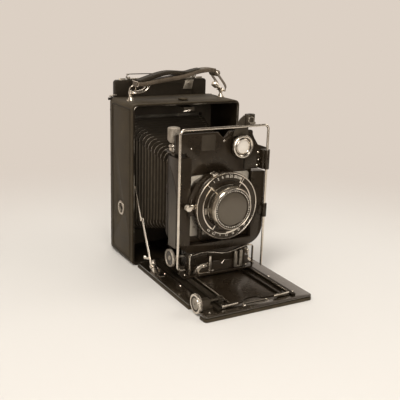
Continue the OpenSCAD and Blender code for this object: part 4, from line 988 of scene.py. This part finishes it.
# %% Numbers
def numbers(name, words, radius, start, stop, height, inward=False):
    """Words round the lens from start to stop degrees; inward turns their feet to the rim."""
    made = []
    for k, word in enumerate(words):
        a = math.radians(start + (stop - start) * k / (len(words) - 1))
        data = bpy.data.curves.new(name, "FONT")
        data.body = word
        data.size = height * MM
        data.extrude = 0.06 * MM
        data.align_x = "CENTER"
        data.align_y = "CENTER"
        obj = new_object(name + str(k), data)
        up = outward(a + (math.pi if inward else 0))
        right = Vector((up.z, 0, -up.x))
        turn = Matrix((right, up, right.cross(up))).transposed().to_4x4()
        obj.matrix_world = Matrix.Translation(ring_place(FACE + 0.04) + outward(a) * radius * MM) @ turn
        made.append(baked(obj))
    settle(joined(name, made), "lens board", "paint_fill", "nickel", 30)


numbers("speed_numbers", ("1", "2", "5", "10", "25", "50", "100"), 25.9, -31, 26, 3.3)
numbers("aperture_numbers", ("4.5", "6.3", "9", "12", "18", "25", "36"), 26.0, 222, 136, 2.7, inward=True)
tell("numbers")

# %% [markdown]
# ## The barrel
# The lens sits in a brushed barrel with a rounded front lip. Inside the lip a black ring slopes down
# to the glass, studded with small bright dots. The slope and the dots are what makes the lens look
# deep, so both are built.

# %% Barrel and its studs
barrel = turned("barrel", [(13.5, 0.2), (18.4, 0.2), (18.8, 0.8), (18.8, 3.4), (18.3, 3.8), (18.3, 4.4),
                           (18.9, 4.9), (19.0, 6.0), (19.0, 10.0), (18.9, 11.2), (18.5, 12.4), (17.9, 13.4),
                           (17.5, 13.85), (17.2, 13.9), (17.0, 13.8), (16.9, 13.5), (14.6, 13.25),
                           (14.3, 12.9), (14.2, 5.2), (13.5, 5.0)],
                ring_place(CASE_FRONT), FORWARD, "barrel_steel", "lens board", steps=160, slot="dull_steel",
                replaced=("lens_barrel",))
painted(barrel, "black_enamel", lambda x, d, z: 14.1 < off(x, z, LENS_SPOT) < 16.9 and d > 83.2)
painted(barrel, "nickel", lambda x, d, z: off(x, z, LENS_SPOT) > 16.9 and d > 84.3)
turned("front_glass", [(0, 11.6), (14.25, 11.6), (14.25, 12.6), (12.4, 12.95), (9.4, 13.2), (6.2, 13.35),
                       (3.0, 13.45), (0, 13.5)],
       ring_place(CASE_FRONT), FORWARD, "lens_glass", "lens board", steps=96, slot="optical_glass")


def studs(name, radius, d, count, size):
    """A ring of small flat beads, every third one round and the others longer."""
    beads = []
    for k in range(count):
        a = 2 * math.pi * k / count
        long = 1.5 if k % 3 else 0.8
        bm = bmesh.new()
        bmesh.ops.create_icosphere(bm, subdivisions=1, radius=size * MM)
        for v in bm.verts:
            flat = Vector((v.co.x * long, v.co.y * 0.5, v.co.z))
            v.co = ring_place(d) + Matrix.Rotation(a, 3, "Y") @ flat + outward(a) * radius * MM
        beads.append(mesh_from(name + str(k), bm))
    settle(joined(name, beads), "lens board", "paint_fill", "nickel", 50)


studs("lens_studs", 15.7, 84.42, 52, 0.45)
tell("barrel and glass")

# %% [markdown]
# The release has a round button and, beside it, a small pin. Four screws hold the square plate behind
# the shutter. A thin wire of worn bright metal just inside the left outline of the shutter's case is
# a painted highlight for the line of light along that edge.

# %% Release pin and screws on the shutter
screw("release_pin", at(-31.4, 71.2, 74.6), FORWARD, 1.5, "lens board")
turned("release_button", [(0, -0.4), (2.1, -0.4), (2.5, 0.1), (2.5, 0.9), (2.1, 1.2), (1.2, 1.0), (0, 0.9)],
       at(-36.9, 71.4, 74.2), FORWARD, "dull_steel", "release lever", steps=48)
for x, z in ((-24.6, 91.6), (-24.6, 52.6), (24.2, 92.2), (24.2, 52.2)):
    screw("flange_screw_%d_%d" % (x + 50, z), at(x, 61.45, z), FORWARD, 1.1, "lens board", "dull_steel")
CASE_SIDE = ((-31.8, 80.4), (-33.2, 72.0), (-30.6, 62.0), (-25.0, 53.6), (-17.6, 47.6))
INSIDE = 0.985
polished = [(x * INSIDE, LENS_SPOT[1] + (z - LENS_SPOT[1]) * INSIDE) for x, z in CASE_SIDE]
# Painted highlight: the bright wire along the case's left edge.
wire("cheek_edge", at_depth(69.7, polished), 0.2, "worn_nickel", "lens board", slot="nickel", sides=2)
tell("release and screws")

# %% [markdown]
# ## The lens board
# The top of the board has a V notch whose worn edge wire is a painted highlight, a raised plate left of
# it whose lighter finish is a painted reflection, small screws along the left edge, and at the right a
# bracket with rivets that carries the wire finder. They are small, but each one catches a point of light.

# %% Board details
BOARD_D = 60.0
NOTCH = ((-3.2, 132.6), (3, 127.0), (9.2, 132.6))
PLATE = ((-18.5, 117.8), (-5.0, 131.2))
# The notch's bright wire is a painted highlight on its chamfer.
wire("notch_edge", at_depth(BOARD_D - 0.1, NOTCH), 0.24, "worn_nickel", "lens board", smooth=False,
     slot="nickel", sides=2)
screw("notch_pin", at(3.4, BOARD_D, 125.0), FORWARD, 0.8, "lens board")
# The plate's lighter finish is a painted reflection.
plate_back = rounded_loop(PLATE[0], PLATE[1], 0.8, lambda x, z: at(x, BOARD_D - 0.1, z), 3)
plate_front = rounded_loop([v + 0.2 for v in PLATE[0]], [v - 0.2 for v in PLATE[1]], 0.7,
                           lambda x, z: at(x, BOARD_D + 0.15, z), 3)
settle(from_rings("board_plate", [plate_back, plate_front]), "lens board", "blackened_steel",
       "black_enamel")
for x, z in ((-32.0, 102.8), (-32.0, 79.0), (-31.0, 56.0), (-28, 120.5), (28.6, 119.6)):
    screw("board_screw_%d_%d" % (x + 60, z), at(x, BOARD_D, z), FORWARD, 0.75, "lens board")
for x, z in ((37.4, 113.0), (38.6, 106.4), (37.0, 101.6)):
    screw("rivet_%d_%d" % (x, z), at(x, 61.4, z), FORWARD, 1.0, "lens board")
tell("board details")

# %% [markdown]
# Along the rear half of the standard's outer side runs a flat satin cheek that narrows to nothing near
# the top. It takes the light quite differently from the enamel before it.

# %% Cheek of the standard
STANDARD_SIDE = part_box("standard_frame")[0].x / MM
CHEEK_LINE = ((50, 36), (63.5, 36), (63.5, 82), (60.4, 91), (56.2, 98.5), (52.2, 103.6), (50, 105.4))
cheek_faces = [[at(STANDARD_SIDE + inward, d, z) for d, z in CHEEK_LINE] for inward in (0.1, -0.25)]
settle(from_rings("standard_cheek", cheek_faces), "standard", "satin_black", "black_enamel")

# %% [markdown]
# The cheek's colour carries painted shade: it is palest low down, where it faces the floor, and it
# darkens towards its tip. A range over the height mixes its colour with a dark brown.

# %% Painted shade on the cheek
def fade(mat, low, high, dark):
    """Paints shade into a finish: darker from height low to height high, in millimetres."""
    tree = mat.node_tree
    shader = tree.nodes["Principled BSDF"]
    pale = shader.inputs["Base Color"].links[0].from_socket
    coords = tree.nodes.new("ShaderNodeTexCoord")
    split = tree.nodes.new("ShaderNodeSeparateXYZ")
    tree.links.new(coords.outputs["Object"], split.inputs["Vector"])
    shade_share = tree.nodes.new("ShaderNodeMapRange")
    shade_share.inputs["From Min"].default_value = low * MM
    shade_share.inputs["From Max"].default_value = high * MM
    tree.links.new(split.outputs["Z"], shade_share.inputs["Value"])
    mix = tree.nodes.new("ShaderNodeMixRGB")
    mix.inputs["Color2"].default_value = (*dark, 1)
    tree.links.new(shade_share.outputs["Result"], mix.inputs["Fac"])
    tree.links.new(pale, mix.inputs["Color1"])
    tree.links.new(mix.outputs["Color"], shader.inputs["Base Color"])


# Painted shade: the cheek's satin black darkens between 55 and 92 mm up.
fade(FINISHES["satin_black"], 55, 92, (0.012, 0.009, 0.006))
tell("cheek")

# %% [markdown]
# ## The brilliant finder and its level
# The finder shows a thick chrome ring round a milky lens. The CAD ring is square in section, so a
# second, rounded ring with a groove lies on it. The level above it is a black casting with a round
# bubble glass, a cap on top and a small bright foot under it.

# %% Finder ring and level
ring = turned("finder_ring", [(5.8, -0.3), (9.9, -0.3), (10.15, 0.4), (10.1, 1.2), (9.6, 2.0), (8.9, 2.35),
                              (8.2, 2.2), (7.6, 1.6), (7.3, 1.35), (6.9, 1.5), (6.5, 1.8), (6.1, 1.75),
                              (5.8, 1.4)],
              at(FINDER[0], 65.2, FINDER[1]), FORWARD, "nickel", "finder", steps=96)
painted(ring, "black_enamel", lambda x, d, z: 6.95 < off(x, z, FINDER) < 7.65)
level_low, level_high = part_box("finder_level")
LEVEL_X = level_high.x / MM - 4.4
LEVEL_TOP = level_high.z / MM
LEVEL_FRONT = ahead(level_low.y)
LEVEL_BACK = 60.3
level_face = at(LEVEL_X, LEVEL_FRONT - 0.35, LEVEL_TOP - 4.6)
turned("level_ring", [(2.0, -0.2), (3.1, -0.2), (3.2, 0.1), (2.9, 0.4), (2.2, 0.4), (2.0, 0.1)],
       level_face, FORWARD, "dull_steel", "finder", steps=48)
# The bubble glass's pale colour is a painted reflection.
turned("level_glass", [(0, -0.2), (2.05, -0.2), (2.05, 0.0), (1.4, 0.25), (0, 0.35)],
       level_face, FORWARD, "sky_glass", "finder", steps=36, slot="optical_glass")
bar("level_foot", at_depth(66.2, ((24.4, 139.9), (30.0, 139.9))), 0.9, UP, 0.6, "dull_steel", "finder",
    smooth=False)
turned("level_cap", [(0, -0.3), (2.8, -0.3), (2.95, 0.0), (2.7, 0.25), (2.0, 0.3), (0, 0.3)],
       at(LEVEL_X, (LEVEL_BACK + LEVEL_FRONT) / 2, LEVEL_TOP - 0.3), UP, "blackened_steel", "finder",
       steps=48)
tell("finder and level")

# %% [markdown]
# ## The knobs
# Three knobs work the front: one lifts the lens board, one shifts the standard sideways and one
# focuses. Each has a milled edge, which is a wave cut in the turned profile, and its own face. Their
# shafts come from the CAD box, so they end where the CAD shafts end.

# %% Rising knob
RISE_FOOT = 124.9
NUT_TOP = 120.9
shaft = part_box("rise_knob")[0].z / MM - RISE_FOOT
turned("rising_knob", [(0, shaft), (1.35, shaft), (1.35, 0), (3.3, 0), (4.1, 0.8), (5.0, 2.3),
                       (5.2, 2.8, 1), (5.2, 11.9, 1), (4.9, 12.5), (3.6, 12.9), (0, 13.2)],
       at(*RISE, RISE_FOOT), UP, "milled_nickel", "rise knob", steps=288, wave=0.2, waves=48,
       slot="nickel", replaced=("rise_knob",))
turned("rising_nut_collar", [(1.5, 0), (3.6, 0), (4.35, 0.9), (4.35, 1.6), (3.2, 2.8), (1.5, 3.2)],
       at(*RISE, NUT_TOP), UP, "nickel", "lens board", steps=48)

# %% [markdown]
# The knob that shifts the standard is a flat disc with a dark face between its bright rim and its
# bright middle. It is one turned piece, and the dark faces are picked by their distance from the axis.

# %% Shift knob
DISC = 3
LEFTWARD = (-1, 0, 0)
shift_low, shift_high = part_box("shift_knob")
shift_face = shift_low.x / MM
shift_shaft = shift_face + DISC - shift_high.x / MM
shift_spot = (ahead(middle("shift_knob").y), middle("shift_knob").z / MM)
shift_disc = turned("shift_knob_turned", [(0, shift_shaft), (1.35, shift_shaft), (1.35, -0.4), (4.4, -0.4),
                                          (4.8, 0), (7.4, 0), (8, 0.5, 1), (8, 2.5, 1), (7.6, 2.95),
                                          (6.7, DISC), (6.3, 2.45), (2.2, 2.3), (1.8, 2.8), (0, 2.9)],
                    at(shift_face + DISC, *shift_spot), LEFTWARD, "milled_nickel", "shift knob", steps=300,
                    wave=0.35, waves=50, slot="nickel", replaced=("shift_knob",))
painted(shift_disc, "black_enamel",
        lambda x, d, z: x < shift_face + 0.72 and 2.0 < off(d, z, shift_spot) < 6.4)

# %% [markdown]
# The focusing knob is a disc of the same make, with a dark groove round a milled middle.

# %% Focusing knob
focus_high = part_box("focus_knob")[1].x / MM
focus_spot = (ahead(middle("focus_knob").y), middle("focus_knob").z / MM)
focus_disc = turned("focus_knob_turned", [(0, 0), (7.6, 0), (8.2, 0.5, 1), (8.2, 2.4, 1), (7.9, 2.9),
                                          (7.2, DISC), (6.3, 2.9), (6.0, 2.0), (5.1, 2.0), (4.8, 2.7),
                                          (3.2, DISC), (0, DISC)],
                    at(focus_high, *focus_spot), LEFTWARD, "nickel", "focusing drive", steps=300,
                    wave=0.35, waves=50, replaced=("focus_knob",))
painted(focus_disc, "black_enamel", lambda x, d, z: 4.95 < off(d, z, focus_spot) < 6.2 and x < -48.6)
painted(focus_disc, "milled_nickel", lambda x, d, z: off(d, z, focus_spot) < 4.9 and x < -50)
tell("knobs")

# %% [markdown]
# ## Fittings on the bed
# Small bright things live round the feet of the struts: the hooked spring that locks each strut, and
# a stud on a short ear for the finger that releases it. Both are bent strips, so they are swept.

# %% Spring catches and studs
SPRING = ((30.2, 15.6), (31.2, 12.0), (33.6, 8.4), (37.4, 6.4), (42, 5.6), (46.5, 5.3), (48.5, 6.2))
EAR = ((51.0, 29.0, 17.2), (51.2, 25.0, 15.6), (51.3, 21.6, 15.2))
STRUT_SCREWS = (("foot_screw_", (50.9, 33.0, 10.5), 1.7, "bed"),
                ("strut_screw_", (51.9, -2.0, 75.0), 1.4, "upper strut {}"),
                ("knee_screw_", (51.2, 12.3, 48.6), 1.5, "upper strut {}"))
for side, word in ((-1, "left"), (1, "right")):
    bar("spring_catch_" + word, [at(side * 46.6, d, z) for d, z in SPRING], 1.7, (1, 0, 0), 0.5,
        "nickel", "bed")
    bar("release_ear_" + word, [at(side * x, d, z) for x, d, z in EAR], 1.0, (0, 0.35, 0.94), 0.5,
        "nickel", "lower strut " + word)
    turned("release_stud_" + word, [(0, -0.8), (1.7, -0.8), (1.9, -0.2), (1.6, 0.5), (0, 0.7)],
           at(side * 51.4, 20.6, 15.2), (side, 0, 0), "nickel", "lower strut " + word, steps=32)
    for name, (x, d, z), radius, body in STRUT_SCREWS:
        screw(name + word, at(side * x, d, z), (side, 0, 0), radius, body.format(word))
tell("strut fittings")

# %% [markdown]
# ## Fittings on the carriage
# The index plate has a bright upper edge with a small V in its middle, and left of it a curved scale
# is held by one rivet.

# %% Index edge and scale
INDEX_D = 61.0
INDEX_EDGE = ((-3.6, 17.9), (0.6, 17.7), (2.6, 17.4), (5.0, 14.6), (7.4, 17.4), (10, 17.3), (13.4, 17.1))
SCALE_EDGE = ((-21.5, 10.4), (-20.2, 13.6), (-17.4, 16.0), (-13.4, 17.3), (-9.6, 17.2))
SCALE_WEB = ((-19.0, 10.6), (-18.0, 13.0), (-16.0, 14.6), (-13.0, 15.4), (-10.2, 15.3))
SCALE_FOOT = ((-20.0, 8.2), (-4.9, 7.4))
wire("index_edge", at_depth(INDEX_D, INDEX_EDGE), 0.3, "nickel", "carriage", smooth=False, sides=2)
wire("scale_edge", at_depth(INDEX_D + 0.2, SCALE_EDGE), 0.45, "nickel", "carriage", sides=2)
bar("scale_plate", at_depth(INDEX_D + 0.1, SCALE_WEB), 1.5, (0.45, 0, -0.89), 0.3, "brushed_plate",
    "carriage", slot="dull_steel")
bar("scale_foot", at_depth(INDEX_D + 0.1, SCALE_FOOT), 1.1, UP, 0.3, "brushed_plate", "carriage",
    slot="dull_steel", smooth=False)
screw("scale_rivet", at(-12.6, INDEX_D + 0.2, 14.4), FORWARD, 1.4, "carriage")
for x in (-31.0, 31.0):
    screw("base_screw_%d" % (x + 40), at(x, 59.6, 9.2), UP, 1.3, "carriage")
tell("carriage fittings")

# %% [markdown]
# Screws hold the guides to the bed, and one lies at its left front corner by the focusing bearing.

# %% Bed screws
BED_TOP = 4.6
for x, d in ((-40.4, 70), (-40.4, 40), (40.4, 40), (40.4, 84), (40.4, 120), (-44.0, 126.5), (0, 18)):
    screw("bed_screw_%d_%d" % (x + 50, d), at(x, d, BED_TOP), UP, 1.1, "bed")

# %% [markdown]
# The keeper at the front edge of the bed is an oval plate with a bright rim.

# %% Keeper rim
keeper = rounded_loop((-12.0, 122.8), (12.0, 126.2), 1.65, lambda x, d: at(x, d, BED_TOP))
wire("keeper_rim", keeper, 0.38, "nickel", "bed", smooth=False, closed=True, sides=2)
tell("bed screws and keeper")

# %% [markdown]
# The rails of the track are blackened, and only their upper edges are bright. One edge on each rail
# is bright nickel, and its other edge is a fainter line.

# %% Bright edges of the rails
rail_low, rail_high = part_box("track_rails")
RAIL_TOP = rail_high.z / MM - 0.6
RAIL_FRONT = ahead(rail_low.y) - 3
RAIL_EDGES = ((-23.6, 62, 0.4, "nickel"), (-32.4, 62, 0.28, "rubbed_edge"), (32.4, 52, 0.45, "nickel"),
              (23.8, 70, 0.28, "rubbed_edge"))
for x, back, radius, material in RAIL_EDGES:
    wire("rail_edge_%d" % (x + 40), [at(x, back, RAIL_TOP), at(x, RAIL_FRONT, RAIL_TOP)], radius, material,
         "focusing track", smooth=False, slot="nickel", sides=2)
tell("rail edges")

# %% [markdown]
# ## Floor, backdrop and light
# The camera stands on a pale table that runs up into a pale wall all round, so no edge shows behind
# it from any side. Round the camera, and in front of it, the table is an ordinary matt surface and
# keeps the shadow. Further out it turns into a painted tint that only the eye, the reflections and
# the glass see. Behind the viewer and overhead the studio is darker, which gives the metal something
# dark to reflect. Without that, nickel looks like cream.

# %% Stage values and node helpers
FLOOR_TINT = (0.65, 0.63, 0.605)
FLOOR_MIDDLE = (-0.06, -0.20)
MATT_TO = 0.24
PAINTED_FROM = 0.62
WALL_TINT = (0.716, 0.631, 0.552)
FLAT_R = 0.85
BEND_R = 0.75
RIM_Z = 1.3
ROOM_TINT = (1.0, 0.95, 0.89)
ROOM_LIGHT = 0.5
SHADE_BEHIND = 0.25
SHADE_OVERHEAD = 0.25
SHADE_FRONT = 0.35
BEND_STEPS = 12
FLOOR_STEPS = 72


def add_math(tree, operation, a, b=None):
    """A math node on two numbers or sockets; it gives its output."""
    step = tree.nodes.new("ShaderNodeMath")
    step.operation = operation
    step.use_clamp = operation in ("MULTIPLY", "ADD")
    for socket, value in zip(step.inputs, (a, b)):
        if value is None:
            continue
        if isinstance(value, float):
            socket.default_value = value
        else:
            tree.links.new(value, socket)
    return step.outputs[0]


def ramp(tree, value, low, high, to_low, to_high):
    """A soft step from to_low to to_high while value goes from low to high."""
    step = tree.nodes.new("ShaderNodeMapRange")
    step.interpolation_type = "SMOOTHSTEP"
    for key, number in (("From Min", low), ("From Max", high), ("To Min", to_low), ("To Max", to_high)):
        step.inputs[key].default_value = number
    tree.links.new(value, step.inputs["Value"])
    return step.outputs["Result"]


def seen_by_eye_or_glass(tree):
    """Two outputs: one for rays of the eye, glass and reflections, and one for reflections only."""
    path = tree.nodes.new("ShaderNodeLightPath")
    eye = add_math(tree, "MAXIMUM", path.outputs["Is Camera Ray"], path.outputs["Is Transmission Ray"])
    return add_math(tree, "MAXIMUM", eye, path.outputs["Is Glossy Ray"]), path.outputs["Is Glossy Ray"]


# %% [markdown]
# One material paints the table and the wall. Its distance from the camera decides how much of it is
# a lit surface and how much is a plain glow. A picture of a backdrop would do too, but it would show
# its seams from other sides.

# %% Paint of the table
def backdrop_paint():
    """A matt table round the camera that turns into a painted glow further out."""
    mat = bpy.data.materials.new("pale_table")
    mat.use_nodes = True
    tree = mat.node_tree
    shader = tree.nodes["Principled BSDF"]
    shader.inputs["Base Color"].default_value = (*FLOOR_TINT, 1)
    shader.inputs["Roughness"].default_value = 0.9
    shader.inputs["Specular IOR Level"].default_value = 0.1
    place = tree.nodes.new("ShaderNodeTexCoord")
    moved = tree.nodes.new("ShaderNodeMapping")
    moved.inputs["Location"].default_value = (-FLOOR_MIDDLE[0], -FLOOR_MIDDLE[1], 0)
    tree.links.new(place.outputs["Object"], moved.inputs["Vector"])
    split = tree.nodes.new("ShaderNodeSeparateXYZ")
    tree.links.new(moved.outputs["Vector"], split.inputs[0])
    across = add_math(tree, "MULTIPLY", split.outputs["X"], split.outputs["X"])
    along = add_math(tree, "MULTIPLY", split.outputs["Y"], split.outputs["Y"])
    away = add_math(tree, "SQRT", add_math(tree, "ADD", across, along))
    far = ramp(tree, away, MATT_TO, PAINTED_FROM, 0.0, 1.0)
    seen, glossy = seen_by_eye_or_glass(tree)
    glow = tree.nodes.new("ShaderNodeEmission")
    glow.inputs["Color"].default_value = (*WALL_TINT, 1)
    dim = ramp(tree, split.outputs["Y"], -0.8, 0.7, SHADE_BEHIND, 1.0)
    loss = add_math(tree, "MULTIPLY", glossy, add_math(tree, "SUBTRACT", 1.0, dim))
    tree.links.new(add_math(tree, "SUBTRACT", 1.0, loss), glow.inputs["Strength"])
    mix = tree.nodes.new("ShaderNodeMixShader")
    tree.links.new(add_math(tree, "MULTIPLY", far, seen), mix.inputs["Fac"])
    tree.links.new(shader.outputs[0], mix.inputs[1])
    tree.links.new(glow.outputs[0], mix.inputs[2])
    tree.links.new(mix.outputs[0], tree.nodes["Material Output"].inputs["Surface"])
    return mat


# %% [markdown]
# The table is a flat disc whose edge bends up into the wall in one sweep, so no line shows where they
# meet.

# %% Table and wall
def stage_floor():
    """A flat disc that bends up into a round wall."""
    profile = [(0.001, 0.0), (0.3, 0.0), (FLAT_R, 0.0)]
    for k in range(1, BEND_STEPS + 1):
        a = math.radians(90 * k / BEND_STEPS)
        profile.append((FLAT_R + BEND_R * math.sin(a), BEND_R * (1 - math.cos(a))))
    profile.append((FLAT_R + BEND_R, RIM_Z))
    turns = [2 * math.pi * k / FLOOR_STEPS for k in range(FLOOR_STEPS)]
    rings = [[Vector((r * math.cos(a), r * math.sin(a), z)) for a in turns] for r, z in profile]
    floor = from_rings("floor", rings, caps=False)
    floor.data.flip_normals()
    floor.data.shade_smooth()
    floor.data.materials.append(backdrop_paint())


stage_floor()
print("table and wall reach", FLAT_R + BEND_R, "m")

# %% [markdown]
# The world gives even light from all sides. What the eye and the glass see of it is the wall's tint,
# and what the metal mirrors is darker overhead and behind the viewer.

# %% World
def paint_world():
    """Even light for the surfaces, and the wall's tint for the eye, darker in reflections."""
    world = bpy.data.worlds.new("room")
    bpy.context.scene.world = world
    world.use_nodes = True
    tree = world.node_tree
    tree.nodes.clear()
    out = tree.nodes.new("ShaderNodeOutputWorld")
    light = tree.nodes.new("ShaderNodeBackground")
    light.inputs["Color"].default_value = (*ROOM_TINT, 1)
    light.inputs["Strength"].default_value = ROOM_LIGHT
    wall = tree.nodes.new("ShaderNodeBackground")
    wall.inputs["Color"].default_value = (*WALL_TINT, 1)
    seen, glossy = seen_by_eye_or_glass(tree)
    way = tree.nodes.new("ShaderNodeTexCoord")
    split = tree.nodes.new("ShaderNodeSeparateXYZ")
    tree.links.new(way.outputs["Generated"], split.inputs[0])
    overhead = ramp(tree, split.outputs["Z"], 0.35, 0.85, 1.0, SHADE_OVERHEAD)
    front = ramp(tree, split.outputs["Y"], -0.7, 0.4, SHADE_FRONT, 1.0)
    dark = add_math(tree, "SUBTRACT", 1.0, add_math(tree, "MULTIPLY", overhead, front))
    loss = add_math(tree, "MULTIPLY", glossy, dark)
    tree.links.new(add_math(tree, "SUBTRACT", 1.0, loss), wall.inputs["Strength"])
    mix = tree.nodes.new("ShaderNodeMixShader")
    tree.links.new(seen, mix.inputs["Fac"])
    tree.links.new(light.outputs[0], mix.inputs[1])
    tree.links.new(wall.outputs[0], mix.inputs[2])
    tree.links.new(mix.outputs[0], out.inputs["Surface"])


paint_world()
print("world:", bpy.context.scene.world.name)

# %% [markdown]
# Four round lamps light the camera: the key from the upper left, a weak one from the front for the
# shutter's face, a weaker one from the right for its edges, and one from behind for the top. Round
# lamps leave round, soft highlights on nickel, as a studio's do.

# %% Lamps
LAMPS = (("key_lamp", (-0.50, -0.48, 1.10), 0.07, 0.45, 9.0),
         ("front_lamp", (-0.2, -1.1, 0.45), 0.07, 0.6, 5.0),
         ("rim_lamp", (0.8, -0.3, 0.7), 0.07, 0.5, 2.0),
         ("top_lamp", (0.15, 0.62, 1.15), 0.1, 0.7, 4.5))
LAMP_TINT = (1.0, 0.96, 0.90)


def lamp(name, place, height, size, power):
    """A round lamp that looks at the camera at this height."""
    data = bpy.data.lights.new(name, "AREA")
    data.shape = "DISK"
    data.size = size
    data.energy = power
    data.color = LAMP_TINT
    obj = bpy.data.objects.new(name, data)
    bpy.context.scene.collection.objects.link(obj)
    obj.location = place
    obj.rotation_euler = (Vector((0, -0.05, height)) - Vector(place)).to_track_quat("-Z", "Y").to_euler()


for values in LAMPS:
    lamp(*values)
print("lamps:", len(LAMPS))
bpy.context.scene.view_settings.view_transform = "Standard"
